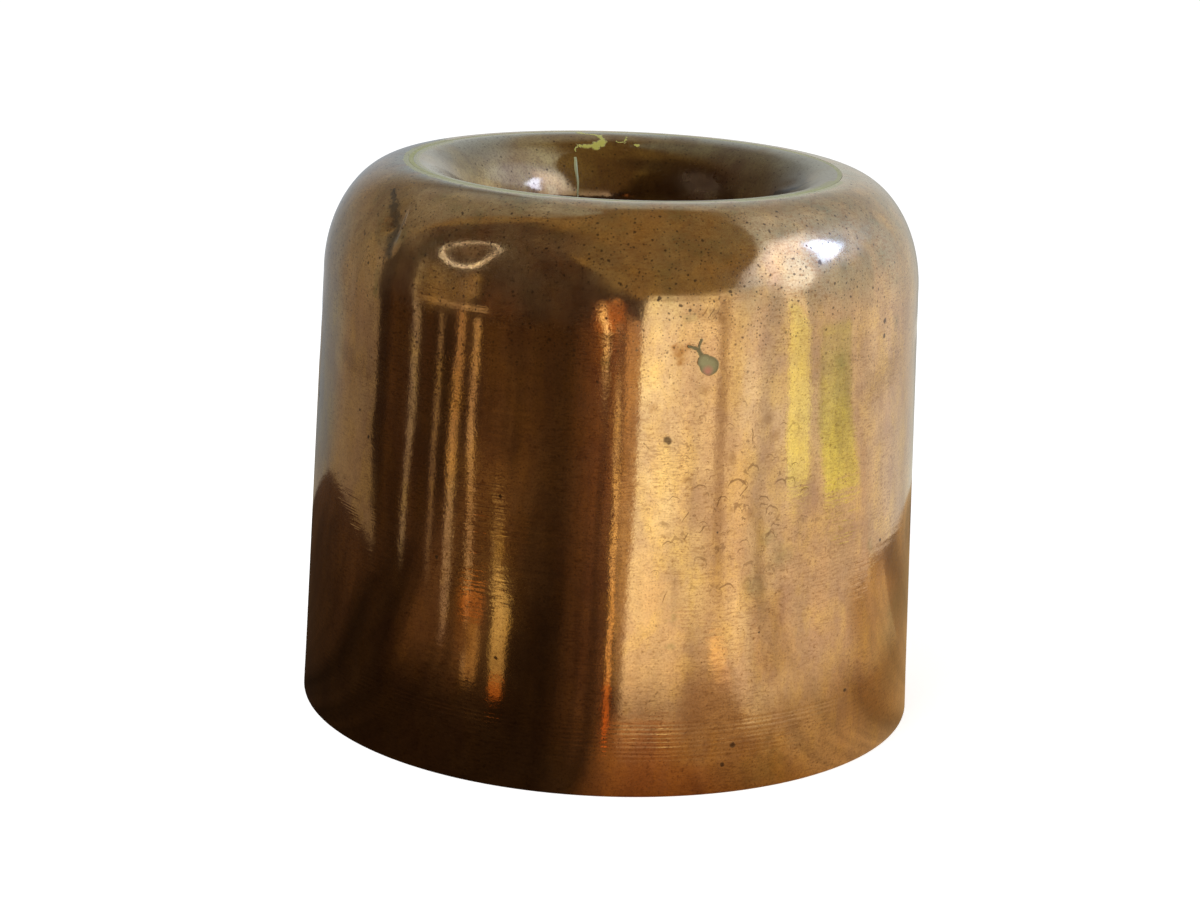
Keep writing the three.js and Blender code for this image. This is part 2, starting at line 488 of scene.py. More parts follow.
class Coat:
    """A finish under construction: its node tree and the places that its patterns read."""

    def __init__(self, name: str) -> None:
        """Starts a material whose patterns read Object coordinates in millimetres."""
        self.material = bpy.data.materials.new(name)
        self.tree = bare_tree(self.material)
        whole = 1 / MM
        place = add(self.tree, "TexCoord", output="Object")
        self.here = add(self.tree, "Mapping", {"Vector": place, "Scale": (whole, whole, whole)})
        self.x, _, self.z = add(self.tree, "SeparateXYZ", {0: self.here}).node.outputs
        flat = add(self.tree, "VectorMath", {0: self.here, 1: (1, 1, 0)}, operation="MULTIPLY")
        self.radius = add(self.tree, "VectorMath", {0: flat}, output="Value", operation="LENGTH")

    def mottle(
        self,
        size: float,
        low: float = 0.35,
        high: float = 0.65,
        squash: Triple = (1, 1, 1),
        shift: float = 0.0,
        detail: float = 3.0,
    ) -> NodeSocket:
        """A cloudy pattern.

        Args:
            size: Size of a cloud in millimetres.
            low: Height of the clouds that gives 0.
            high: Height of the clouds that gives 1.
            squash: How much faster the pattern runs along each axis.
            shift: Distance that sets this pattern apart from others of the same size.
            detail: Number of finer layers.

        Returns:
            A value from 0 to 1.
        """
        inputs = {"Vector": self.here, "Location": (shift, shift, shift), "Scale": squash}
        place = add(self.tree, "Mapping", inputs)
        inputs = {"Vector": place, "Scale": 1 / size, "Detail": detail, "Roughness": 0.58}
        cloud = add(self.tree, "TexNoise", inputs, output="Fac")
        return add(self.tree, "MapRange", {"Value": cloud, "From Min": low, "From Max": high})

    def specks(
        self,
        spacing: float,
        size: float,
        shift: float = 0.0,
        core: float = 0.45,
        drop: float = 0.0,
        wobble: float = 0.0,
    ) -> NodeSocket:
        """Small round specks of uneven size.

        Args:
            spacing: Distance between specks in millimetres.
            size: Width of the largest speck in millimetres.
            shift: Distance that sets this pattern apart from others.
            core: Share of each speck's radius that it fills fully.
            drop: How far all specks are moved down, in millimetres.
            wobble: How uneven their outlines are, in millimetres.

        Returns:
            1 on a speck and 0 off it.
        """
        start = self.loosened(wobble, 1.2) if wobble else self.here
        inputs = {"Vector": start, "Location": (shift, shift, shift + drop)}
        place = add(self.tree, "Mapping", inputs)
        cell = add(self.tree, "TexVoronoi", {"Vector": place, "Scale": 1 / spacing}).node
        uneven = add(self.tree, "SeparateColor", {0: cell.outputs["Color"]})
        share = size / spacing / 2
        limit = add(self.tree, "Math", {0: uneven, 1: share}, operation="MULTIPLY")
        inner = add(self.tree, "Math", {0: limit, 1: core}, operation="MULTIPLY")
        inputs = {"Value": cell.outputs["Distance"], "From Min": limit, "From Max": inner}
        return add(self.tree, "MapRange", inputs)

    def splashes(self, spacing: float, size: float, shift: float) -> NodeSocket:
        """Edges of dried splashes, thickest at the top.

        Args:
            spacing: Distance between splashes in millimetres.
            size: Width of the largest in millimetres.
            shift: Distance that sets this pattern apart from others.

        Returns:
            1 on an edge and 0 off it.
        """
        outer = self.specks(spacing, size, shift, 0.9, wobble=0.35)
        inner = self.specks(spacing, size * 0.85, shift, 0.9, 0.12 * size, wobble=0.35)
        return add(self.tree, "Math", {0: outer, 1: inner}, operation="SUBTRACT", use_clamp=True)

    def loosened(self, wobble: float, size: float) -> NodeSocket:
        """The place, moved about a little so that outlines drawn with it come out uneven.

        Args:
            wobble: How far it is moved, in millimetres.
            size: Length of the unevenness, in millimetres.

        Returns:
            The moved place.
        """
        inputs = {"Vector": self.here, "Scale": 1 / size, "Detail": 2.0}
        cloud = add(self.tree, "TexNoise", inputs, output="Color")
        far = (wobble * 5,) * 3
        inputs = {0: cloud, 1: far, 2: tuple(-share / 2 for share in far)}
        offset = add(self.tree, "VectorMath", inputs, operation="MULTIPLY_ADD")
        return add(self.tree, "VectorMath", {0: self.here, 1: offset}, operation="ADD")

    def deepest(self, depths: Iterable[NodeSocket], edge: float) -> NodeSocket:
        """Joins marks into one pattern.

        Args:
            depths: How far inside each mark a place lies.
            edge: How far inside its outline a mark shows fully.

        Returns:
            1 on a mark and 0 off it.
        """
        whole = None
        for depth in depths:
            if whole is not None:
                depth = add(self.tree, "Math", {0: whole, 1: depth}, operation="MAXIMUM")
            whole = depth
        return add(self.tree, "MapRange", {"Value": whole, "From Min": 0.0, "From Max": edge})

    def blots(self, spots: Iterable[Spot], wobble: float = 0.12, edge: float = 0.25) -> NodeSocket:
        """Marks that lie round given places.

        Args:
            spots: Centre and radius of each, in millimetres.
            wobble: How uneven their outlines are, in millimetres.
            edge: Share of each mark's radius over which it fades.

        Returns:
            1 on a mark and 0 off it.
        """
        place = self.loosened(wobble, 1.6)
        depths = []
        for centre, size in spots:
            inputs = {0: place, 1: centre}
            away = add(self.tree, "VectorMath", inputs, output="Value", operation="DISTANCE")
            inputs = {0: away, 1: -1 / size, 2: 1.0}
            depths.append(add(self.tree, "Math", inputs, operation="MULTIPLY_ADD"))
        return self.deepest(depths, edge)

    def strokes(self, lines: Iterable[Line], wobble: float = 0.08, edge: float = 0.5) -> NodeSocket:
        """Scratches and runs with round ends.

        Args:
            lines: Both ends and the width of each, in millimetres.
            wobble: How uneven they are, in millimetres.
            edge: Share of each line's half width over which it fades.

        Returns:
            1 on a stroke and 0 off it.
        """
        place = self.loosened(wobble, 1.1)
        depths = []
        for start, end, width in lines:
            way = end - start
            unit = way / way.length_squared
            inputs = {0: place, 1: unit}
            along = add(self.tree, "VectorMath", inputs, output="Value", operation="DOT_PRODUCT")
            inputs = {0: along, 1: start.dot(unit)}
            share = add(self.tree, "Math", inputs, operation="SUBTRACT", use_clamp=True)
            inputs = {0: share, 1: way, 2: start}
            spot = add(self.tree, "VectorMath", inputs, operation="MULTIPLY_ADD")
            inputs = {0: place, 1: spot}
            away = add(self.tree, "VectorMath", inputs, output="Value", operation="DISTANCE")
            inputs = {0: away, 1: -2 / width, 2: 1.0}
            depths.append(add(self.tree, "Math", inputs, operation="MULTIPLY_ADD"))
        return self.deepest(depths, edge)

    def crescents(self, arcs: Iterable[Spot]) -> NodeSocket:
        """Upper halves of drying rings, thickest at the top.

        Args:
            arcs: Centre and radius of each, in millimetres.

        Returns:
            1 on a crescent and 0 off it.
        """
        place = self.loosened(0.2, 1.5)
        depths = []
        for centre, size in arcs:
            lower = centre - Vector((0, 0, 0.28 * size))
            outer, inner = (
                add(self.tree, "VectorMath", {0: place, 1: spot}, output="Value", operation="DISTANCE")
                for spot in (centre, lower)
            )
            within = add(self.tree, "Math", {0: size, 1: outer}, operation="SUBTRACT")
            beyond = add(self.tree, "Math", {0: inner, 1: size}, operation="SUBTRACT")
            depths.append(add(self.tree, "Math", {0: within, 1: beyond}, operation="MINIMUM"))
        return self.deepest(depths, 0.08)

    def washed(self, ground: Reading, washes: Iterable[tuple[NodeSocket, float, str]]) -> NodeSocket:
        """Colours laid over each other.

        Args:
            ground: The first colour.
            washes: Where each further colour lies, how strongly, and its sRGB hex.

        Returns:
            The colour that shows.
        """
        for where, strength, code in washes:
            share = add(self.tree, "Math", {0: where, 1: strength}, operation="MULTIPLY")
            inputs = {0: share, 6: ground, 7: linear(code)}
            ground = add(self.tree, "Mix", inputs, output=2, data_type="RGBA")
        return ground

    def raised(self, heights: Iterable[tuple[NodeSocket, float]]) -> NodeSocket:
        """Shading of several reliefs over each other.

        Args:
            heights: A value from 0 to 1 and its full height in millimetres, for each.

        Returns:
            The normal.
        """
        normal = None
        for height, full in heights:
            inputs: dict[Union[int, str], Reading] = {"Height": height, "Distance": full * MM}
            if normal is not None:
                inputs["Normal"] = normal
            normal = add(self.tree, "Bump", inputs)
        return normal

    def close(self, **sockets: Reading) -> Material:
        """Joins what was made to a shader, whose sockets are named with underscores."""
        inputs = {key.replace("_", " ").title(): value for key, value in sockets.items()}
        shader = add(self.tree, "BsdfPrincipled", inputs)
        add(self.tree, "OutputMaterial", {"Surface": shader})
        return self.material


def on_wall(marks: Iterable[Triple]) -> list[Spot]:
    """Centres and sizes of marks that are given by azimuth, level and size."""
    return [(SIZES.outside(azimuth, level), size) for azimuth, level, size in marks]


def along_wall(lines: Iterable[tuple[float, ...]]) -> list[Line]:
    """Ends and widths of lines that are given by azimuth and level of both ends, and width."""
    return [(SIZES.outside(a, b), SIZES.outside(c, d), width) for a, b, c, d, width in lines]


# Marks on the casing, each by azimuth, level and size, or by azimuth and level of both ends and width.
# First the drop of lacquer on the wall: its body, the run above it, and the scorch beside it
DROP = ((-73.8, 83.7, 1.95), (-74.6, 84.5, 1.5))
DROP_HEART = ((-74.0, 82.8, 1.25),)
DROP_RUN = (
    (-74.7, 84.6, -75.8, 86.6, 1.1), (-75.8, 86.6, -75.5, 88.6, 0.8), (-75.9, 86.9, -77.6, 87.4, 0.8),
)
SCORCH = ((-79.3, 86.2, 1.9), (-78.9, 84.6, 1.4), (-80.3, 87.1, 1.2), (-78.1, 87.3, 1.0))
DARK_MARKS = (
    (-80.7, 69.8, 1.0), (-49.9, 101.2, 0.6), (-77.6, 94.1, 0.5), (-79.4, 94.9, 0.45),
    (-83.0, 96.4, 0.5), (-140.8, 62.4, 0.55), (-144.0, 67.0, 0.35), (-93.4, 80.2, 0.35),
    (-32.0, 85.0, 0.5), (-32.0, 88.0, 0.6), (-31.0, 43.8, 0.6), (-109.5, 25.5, 0.5),
    (-109.9, 56.9, 0.45), (-122.0, 43.0, 0.45), (-168.0, 64.0, 1.1), (-168.5, 66.0, 0.8),
    (-66.7, 9.5, 0.7), (-68.6, 5.7, 0.6), (-41.4, 15.7, 0.6), (-71.2, 51.8, 0.35), (-62.3, 31.5, 0.3),
    (-70.0, 97.4, 0.35), (24.6, 111.0, 0.55),
)
SMUDGES = (
    (-83.4, 75.9, 1.3), (-74.3, 79.0, 1.5), (-71.9, 92.6, 1.6), (-75.3, 93.5, 1.6), (-62.0, 73.0, 1.8),
    (-60.5, 69.5, 1.8), (-69.0, 66.0, 1.6), (-77.0, 62.0, 1.4), (-65.0, 55.0, 1.6),
)
HAZES = (
    (-78.9, 29.9, 1.3), (-78.6, 35.2, 1.2), (-77.2, 92.7, 1.5), (-64.1, 41.0, 3.4), (-58.5, 46.0, 3.6),
    (-61.0, 50.0, 2.2), (-34.9, 43.7, 1.5), (-26.0, 94.8, 1.5), (-27.0, 87.0, 2.0), (-140.8, 91.2, 1.8),
    (-46.0, 82.0, 3.0), (-22.0, 28.0, 6.0), (-92.0, 84.0, 1.6),
)
# darker olive at the foot of the wall at the front right: a painted reflection of the brown ground below
FOOT_PAINTED_REFLECTION = ((-24.0, 14.0, 15.0), (-14.0, 26.0, 13.0), (-60.0, 3.0, 7.0))
# Painted shade in the dent at the left and along the crease at its edge, and the mark below it
DENT_SHADE = (
    (-149.5, 108.6, -144.5, 106.5, 1.6), (-144.5, 106.5, -141.0, 104.2, 3.6),
    (-141.0, 104.2, -139.8, 101.5, 4.4), (-139.8, 101.5, -139.0, 98.6, 3.0),
)
CREASE_SHADE = (
    (-149.5, 108.6, -143.4, 107.1, 0.25), (-143.4, 107.1, -139.3, 105.5, 0.28),
    (-139.3, 105.5, -137.0, 103.5, 0.25),
)
FOOT_MARK = ((-140.9, 95.0, -140.6, 90.6, 2.2),)
# The brown left in the flat, and the darker patch in its middle
FLAT_STAIN = (
    (-82.0, 106.5, 1.8), (-79.0, 105.6, 2.8), (-75.5, 105.0, 3.2), (-72.5, 104.4, 2.6),
    (-70.0, 103.2, 2.0),
)
FLAT_HEART = ((-80.5, 103.8, 1.2), (-77.5, 103.6, 1.5), (-75.0, 104.4, 1.6))
# Places where fine turned lines are left and where splashes have dried
TURNED = (
    (-113.0, 52.0, 9.0), (-112.0, 38.0, 6.0), (-43.0, 47.0, 8.0), (-38.0, 38.0, 7.0),
    (-92.0, 11.0, 5.0), (-80.0, 11.0, 6.0), (-68.0, 11.0, 6.0), (-56.0, 11.0, 5.0), (-76.0, 36.0, 4.0),
    (-134.0, 48.0, 6.0), (-146.0, 48.0, 6.0),
)
SPLASHED = ((-67.0, 58.0, 26.0),)
# Rings that drops have left, scratches, and nicks down to bare metal
CRESCENTS = (
    (-67.8, 60.2, 1.9), (-59.0, 60.0, 1.3), (-80.0, 49.3, 1.3), (-66.0, 49.1, 1.1), (-74.6, 60.0, 1.3),
    (-70.5, 57.8, 1.2), (-58.8, 71.2, 0.9), (-53.6, 57.6, 1.2), (-69.5, 71.7, 0.9), (-64.2, 69.2, 0.8),
    (-79.2, 58.1, 1.1), (-73.8, 53.1, 1.1), (-69.0, 40.4, 1.5), (-72.0, 44.0, 0.8), (-62.5, 57.0, 1.3),
    (-56.0, 63.0, 1.0), (-77.5, 66.0, 0.9), (-53.5, 75.5, 0.8), (-61.5, 65.4, 0.8), (-82.0, 44.0, 0.9),
)
SCRATCHES = (
    (-81.1, 83.0, -80.8, 81.3, 0.22), (-80.2, 82.6, -80.4, 81.0, 0.17),
    (-65.2, 71.3, -64.9, 68.6, 0.30), (-84.9, 69.2, -83.9, 68.1, 0.26),
    (-74.3, 94.5, -75.3, 92.9, 0.26), (-73.2, 94.3, -74.3, 92.6, 0.26),
    (-72.2, 94.2, -72.9, 92.9, 0.22), (-70.7, 58.9, -71.4, 56.8, 0.29),
    (-76.6, 56.0, -77.5, 54.3, 0.24), (-73.5, 53.4, -74.3, 52.1, 0.33),
    (-76.5, 52.0, -77.2, 50.7, 0.29), (-65.8, 60.3, -67.1, 58.6, 0.29),
    (-57.2, 102.4, -58.4, 101.6, 0.35), (-79.8, 40.8, -80.6, 38.6, 0.30),
    (-121.8, 84.0, -122.6, 80.4, 0.20),
)
NICKS = (
    (-84.2, 103.3, -83.6, 103.2, 0.30), (-81.5, 101.1, -81.0, 101.0, 0.30),
    (-84.8, 101.4, -84.4, 100.2, 0.14), (-83.5, 97.6, -83.1, 96.0, 0.14),
    (-91.7, 102.2, -92.2, 100.4, 0.12), (-111.0, 98.0, -110.6, 95.9, 0.12),
    (-74.9, 95.9, -74.3, 94.8, 0.14), (-97.0, 88.5, -97.4, 85.0, 0.12),
)


# Where brass was wiped along the crest beside its seam, at the left and at the right in front
WIPED = (*range(150, 241, 9), *range(-60, -20, 9))
CREST_WASH = tuple(
    (on_axis(start, 44.0, SIZES.height), on_axis(start + 9, 44.0, SIZES.height), 2.2) for start in WIPED
)


@dataclass(frozen=True)
class CasingFinish:
    """Old spun copper, polished by hand, browned by heat and handling.

    To the eye it is a warm mirror, gold where it faces light, under a thin uneven film: olive brown on
    the shoulder, freckled where spatters have dried on the wall, and grey near the brass of the crest.
    Painted shade lies in the dent at the left and along its crease; painted reflections make the foot
    darker olive at the front right and the film greyer towards the right.
    """

    clean: str = "f4cb8f"
    browned: str = "daa66e"
    tarnish: str = "bd946c"
    film: str = "ba9866"
    olive: str = "867f4c"
    freckle: str = "98693a"
    splash: str = "7d5630"
    # painted shade in the dent at the left
    dent_shade: str = "5b4f42"
    settled: str = "97764c"
    heart_of_flat: str = "7f7142"
    russet: str = "8a5f3e"
    gold: str = "f0bd66"
    plum: str = "ab7c64"
    moss: str = "7a774c"
    pit: str = "3c2616"
    drop: str = "948a60"
    drop_rim: str = "675c38"
    heart: str = "b8745c"
    scorch: str = "9a6126"
    wash: str = "a9aa90"
    pale: str = "a9ab7c"
    roughness: float = 0.075

    def material(self) -> Material:
        """Makes the material."""
        coat = Coat("old_spun_copper")
        tree = coat.tree
        inputs = {"Value": coat.z, "From Min": 88.0, "From Max": 103.0}
        shoulder = add(tree, "MapRange", inputs, interpolation_type="SMOOTHSTEP")
        cloud = coat.mottle(9, 0.25, 0.6, shift=40)
        film = add(tree, "Math", {0: shoulder, 1: cloud}, operation="MULTIPLY")
        inputs = {"Value": coat.radius, "From Min": 49.5, "From Max": 44.6}
        crest = add(tree, "MapRange", inputs, interpolation_type="SMOOTHSTEP")
        uneven = coat.mottle(6, 0.3, 0.6, shift=77)
        crest = add(tree, "Math", {0: crest, 1: uneven}, operation="MULTIPLY")
        # painted reflection: the film is painted greyer towards the right side, joined to the grey near
        # the crest
        inputs = {"Value": coat.x, "From Min": 5.0, "From Max": 40.0, "To Max": 0.5}
        painted_right_sheen = add(tree, "Math", {0: film, 1: add(tree, "MapRange", inputs)}, operation="MULTIPLY")
        crest = add(tree, "Math", {0: crest, 1: painted_right_sheen}, operation="MAXIMUM")
        amount = coat.mottle(13, 0.3, 0.6, shift=90, detail=2)
        freckles = coat.specks(0.95, 0.78, 9, 0.4, wobble=0.3)
        freckles = add(tree, "Math", {0: freckles, 1: amount}, operation="MULTIPLY")
        zone = coat.blots(on_wall(SPLASHED), 4.0, 0.6)
        inputs = {0: coat.splashes(3.4, 3.2, 51), 1: coat.splashes(1.8, 1.3, 83)}
        splashes = add(tree, "Math", inputs, operation="MAXIMUM")
        splashes = add(tree, "Math", {0: splashes, 1: zone}, operation="MULTIPLY")
        turned = coat.mottle(0.55, 0.38, 0.62, (0.03, 0.03, 1), shift=15, detail=1)
        places = coat.blots(on_wall(TURNED), 3.0, 1.0)
        turned = add(tree, "Math", {0: turned, 1: places}, operation="MULTIPLY")
        inputs = {0: coat.specks(1.15, 0.72, wobble=0.15), 1: coat.specks(0.60, 0.44, 17)}
        pits = add(tree, "Math", inputs, operation="MAXIMUM")
        inputs = {"Value": coat.z, "From Min": 70.0, "From Max": 96.0, "To Min": 0.22, "To Max": 1.0}
        pits = add(tree, "Math", {0: pits, 1: add(tree, "MapRange", inputs)}, operation="MULTIPLY")
        drop = coat.blots(on_wall(DROP), 0.05, 0.12)
        run = coat.strokes(along_wall(DROP_RUN), 0.16)
        drop = add(tree, "Math", {0: drop, 1: run}, operation="MAXIMUM")
        marks = coat.blots(on_wall(DARK_MARKS), 0.22, 0.4)
        scratches = coat.strokes(along_wall(SCRATCHES), 0.1)
        wash = coat.strokes(CREST_WASH, 0.2, 0.3)
        inputs = {0: film, 1: coat.mottle(3.4, 0.42, 0.66, shift=63, detail=5)}
        russet = add(tree, "Math", inputs, operation="MULTIPLY")
        inputs = {0: film, 1: coat.mottle(6, 0.50, 0.70, shift=29, detail=4)}
        moss = add(tree, "Math", inputs, operation="MULTIPLY")
        # the polish leaves a grain finer than this, which is drawn 0.4 mm wide so that it shows
        grain = coat.mottle(0.42, 0.44, 0.70, shift=71, detail=2)
        dashes = coat.mottle(0.5, 0.50, 0.68, (0.3, 0.3, 1.5), shift=121, detail=2)
        dashes = add(tree, "Math", {0: dashes, 1: amount}, operation="MULTIPLY")
        share = add(tree, "Math", {0: film, 1: 0.15, 2: 0.6}, operation="MULTIPLY_ADD")
        grain = add(tree, "Math", {0: grain, 1: share}, operation="MULTIPLY")
        colour = coat.washed(
            linear(self.clean),
            [
                (coat.mottle(34, squash=(1, 1, 0.45), detail=4), 1.0, self.browned),
                (coat.mottle(8, 0.40, 0.66, shift=21, detail=4), 0.6, self.tarnish),
                (coat.mottle(5, 0.46, 0.62, (1, 1, 0.5), shift=140), 0.45, self.gold),
                (coat.mottle(6, 0.48, 0.64, (1, 1, 0.6), shift=170, detail=4), 0.35, self.plum),
                (coat.mottle(1.6, 0.45, 0.75, (1, 1, 1.6), shift=3), 0.30, self.tarnish),
                (film, 1.0, self.film),
                (russet, 0.5, self.russet),
                (moss, 0.5, self.moss),
                (coat.blots(on_wall(FLAT_STAIN), 0.8, 1.2), 1.0, self.settled),
                (coat.blots(on_wall(FLAT_HEART), 0.5, 1.0), 0.7, self.heart_of_flat),
                (coat.blots(on_wall(HAZES), 0.7, 1.0), 0.42, self.olive),
                # painted reflection of the brown ground at the foot
                (coat.blots(on_wall(FOOT_PAINTED_REFLECTION), 3.0, 1.4), 0.5, self.olive),
                # grey near the crest, and on the right side of the film the painted reflection
                (crest, 0.75, self.wash),
                (turned, 0.42, self.freckle),
                (grain, 0.55, self.freckle),
                (dashes, 0.5, self.freckle),
                (freckles, 0.7, self.freckle),
                (coat.specks(0.58, 0.46, 23, 0.4), 0.55, self.freckle),
                (coat.blots(on_wall(SMUDGES), 0.5, 0.8), 0.5, self.freckle),
                (splashes, 0.55, self.splash),
                (coat.crescents(on_wall(CRESCENTS)), 0.66, self.splash),
                (coat.blots(on_wall(SCORCH), 0.5, 0.9), 0.85, self.scorch),
                # painted shade in the dent at the left
                (coat.strokes(along_wall(DENT_SHADE), 0.4, 0.6), 0.78, self.dent_shade),
                (coat.strokes(along_wall(FOOT_MARK), 0.3, 0.9), 0.3, self.olive),
                # painted shade along the crease at the dent's edge
                (coat.strokes(along_wall(CREASE_SHADE), 0.1), 0.65, self.pit),
                (wash, 0.85, self.pale),
                (pits, 0.8, self.pit),
                (marks, 0.8, self.pit),
                (scratches, 0.75, self.splash),
                (drop, 0.95, self.drop_rim),
                (coat.blots(on_wall(DROP), 0.05, 0.5), 0.9, self.drop),
                (coat.blots(on_wall(DROP_HEART), 0.1, 0.7), 0.85, self.heart),
                (coat.strokes(along_wall(NICKS), 0.04), 0.7, self.clean),
            ],
        )
        dulled = add(tree, "Math", {0: film, 1: 0.13}, operation="MULTIPLY")
        spoiled = add(tree, "Math", {0: drop, 1: 0.35}, operation="MULTIPLY")
        dulled = add(tree, "Math", {0: dulled, 1: spoiled}, operation="MAXIMUM")
        inputs = {0: wash, 1: 0.75, 2: dulled}
        dulled = add(tree, "Math", inputs, operation="MULTIPLY_ADD", use_clamp=True)
        metallic = add(tree, "Math", {0: 1.0, 1: dulled}, operation="SUBTRACT")
        rough = coat.mottle(7, 0.3, 0.7, shift=60)
        inputs = {0: rough, 1: self.roughness * 0.4, 2: self.roughness * 0.85}
        rough = add(tree, "Math", inputs, operation="MULTIPLY_ADD")
        rough = add(tree, "Math", {0: dulled, 1: 0.30, 2: rough}, operation="MULTIPLY_ADD")
        spotted = add(tree, "Math", {0: marks, 1: pits}, operation="MAXIMUM")
        rough = add(tree, "Math", {0: spotted, 1: 0.15, 2: rough}, operation="MULTIPLY_ADD")
        # turned lines, finer on the real sheet and drawn about 1.5 mm apart so that they show, in
        # patches where the polishing has left them
        rings = coat.mottle(1.5, 0.3, 0.7, (0.015, 0.015, 1), shift=5, detail=1)
        left = coat.mottle(16, 0.45, 0.65, shift=33, detail=1)
        rings = add(tree, "Math", {0: rings, 1: left}, operation="MULTIPLY")
        normal = coat.raised(
            [
                (rings, 0.009),
                (turned, 0.014),
                (coat.mottle(2.2, shift=11, detail=2), 0.004),
                (coat.mottle(0.45, 0.3, 0.7, shift=57, detail=2), 0.0024),
                (freckles, 0.003),
                (drop, 0.05),
            ]
        )
        return coat.close(
            base_color=colour,
            metallic=metallic,
            roughness=rough,
            normal=normal,
            coat_weight=0.3,
            coat_roughness=0.3,
        )


# Brass that has run down the lip behind, and its stains, by azimuth, radius and size
RUNS = (
    ((104.9, 41.8), (101.1, 41.2), 0.7), ((101.1, 41.2), (98.2, 40.2), 0.9),
    ((98.2, 40.2), (97.6, 38.5), 1.4), ((97.6, 38.5), (98.8, 37.4), 1.5),
    ((98.8, 37.4), (103.8, 37.2), 1.5), ((103.8, 37.2), (106.6, 37.4), 0.7),
    ((106.6, 37.4), (107.4, 36.2), 0.4), ((94.3, 38.6), (90.5, 38.1), 0.5),
    ((90.5, 38.1), (89.9, 40.1), 0.5),
)
RUN_SPOTS = (
    (100.5, 37.2, 1.2), (98.2, 38.0, 1.1), (86.8, 37.7, 0.6), (104.0, 42.2, 0.8), (93.0, 34.9, 0.4),
)
LIP_WASH = tuple(((start, 42.3), (start + 9, 42.3), 1.7) for start in WIPED)
# painted shade along the crease in the lip at the right
LIP_CREASE_SHADE = (
    ((22.5, 33.7), (12.0, 34.7), 1.6), ((12.0, 34.7), (5.4, 35.8), 1.3),
    ((5.4, 35.8), (-0.4, 37.6), 0.6),
)


@dataclass(frozen=True)
class WellFinish:
    """Copper of the well, rolled and beaten, out of reach of the polishing cloth.

    It is browner and redder than the casing, grey near the crest, and glints where it is clean. Deeper
    down and on its right side it is painted darker, as painted shade.
    """

    clean: str = "b39a68"
    browned: str = "846547"
    # deep is the colour of the painted shade deep in the well and on its right side, and of the fine
    # dark grain
    deep: str = "46271a"
    grey: str = "a6a798"
    run: str = "bdbb58"
    pale: str = "a6a67a"
    # crease is the colour of the painted shade along the crease in the lip
    crease: str = "4b443c"
    pit: str = "2f1d12"
    roughness: float = 0.058

    def material(self) -> Material:
        """Makes the material."""
        coat = Coat("well_copper")
        tree = coat.tree
        # painted shade: the well is painted darker deeper down, and on its right side
        inputs = {"Value": coat.z, "From Min": 105.0, "From Max": 92.0}
        deep = add(tree, "MapRange", inputs, interpolation_type="SMOOTHSTEP")
        inputs = {"Value": coat.x, "From Min": -4.0, "From Max": 14.0}
        right = add(tree, "MapRange", inputs, interpolation_type="SMOOTHSTEP")
        inputs = {0: coat.here, 1: (0.17, 0.98, 0)}
        behind = add(tree, "VectorMath", inputs, output="Value", operation="DOT_PRODUCT")
        inputs = {"Value": behind, "From Min": 16.0, "From Max": 32.0, "To Min": 32.0, "To Max": 40.5}
        start = add(tree, "MapRange", inputs, interpolation_type="SMOOTHSTEP")
        start = add(tree, "Math", {0: right, 1: -2.0, 2: start}, operation="MULTIPLY_ADD")
        inputs = {"Value": coat.radius, "From Min": start, "From Max": 41.8}
        crest = add(tree, "MapRange", inputs, interpolation_type="SMOOTHSTEP")
        uneven = coat.mottle(8, 0.2, 0.5, shift=77)
        crest = add(tree, "Math", {0: crest, 1: uneven}, operation="MULTIPLY")
        runs = coat.strokes(self.on_lip(RUNS), 0.3)
        spots = [(SIZES.on_lip(azimuth, radius), size) for azimuth, radius, size in RUN_SPOTS]
        runs = add(tree, "Math", {0: runs, 1: coat.blots(spots, 0.4, 0.3)}, operation="MAXIMUM")
        wash = coat.strokes(self.on_lip(LIP_WASH), 0.25)
        colour = coat.washed(
            linear(self.clean),
            [
                (coat.mottle(10, squash=(1, 1, 0.6), detail=4), 1.0, self.browned),
                (coat.mottle(1.6, 0.42, 0.68, (1, 1, 0.15), shift=44), 0.4, self.browned),
                # painted shade on the right side and deep down in the well
                (right, 0.35, self.deep),
                (deep, 0.75, self.deep),
                (crest, 0.8, self.grey),
                # painted shade along the lip's crease
                (coat.strokes(self.on_lip(LIP_CREASE_SHADE), 0.2), 0.85, self.crease),
                (wash, 0.85, self.pale),
                (coat.specks(1.2, 0.7, 31), 0.7, self.pit),
                (coat.mottle(0.42, 0.46, 0.72, shift=19, detail=2), 0.4, self.deep),
                (runs, 0.9, self.run),
            ],
        )
        dulled = add(tree, "Math", {0: crest, 1: 0.3}, operation="MULTIPLY")
        dulled = add(tree, "Math", {0: dulled, 1: runs}, operation="MAXIMUM")
        inputs = {0: wash, 1: 0.8, 2: dulled}
        dulled = add(tree, "Math", inputs, operation="MULTIPLY_ADD", use_clamp=True)
        metallic = add(tree, "Math", {0: dulled, 1: -0.85, 2: 1.0}, operation="MULTIPLY_ADD")
        inputs = {0: coat.mottle(6, 0.3, 0.7, shift=13), 1: 0.03, 2: self.roughness}
        rough = add(tree, "Math", inputs, operation="MULTIPLY_ADD")
        rough = add(tree, "Math", {0: right, 1: 0.20, 2: rough}, operation="MULTIPLY_ADD")
        rough = add(tree, "Math", {0: dulled, 1: 0.2, 2: rough}, operation="MULTIPLY_ADD")
        normal = coat.raised([(coat.mottle(4.0, shift=21), 0.012), (runs, 0.08)])
        return coat.close(
            base_color=colour,
            metallic=metallic,
            roughness=rough,
            normal=normal,
            coat_weight=0.25,
            coat_roughness=0.3,
        )

    @staticmethod
    def on_lip(lines: Iterable[tuple[Any, Any, float]]) -> list[Line]:
        """Ends and widths of lines on the lip that are given by azimuth and radius of both ends."""
        return [(SIZES.on_lip(*start), SIZES.on_lip(*end), width) for start, end, width in lines]


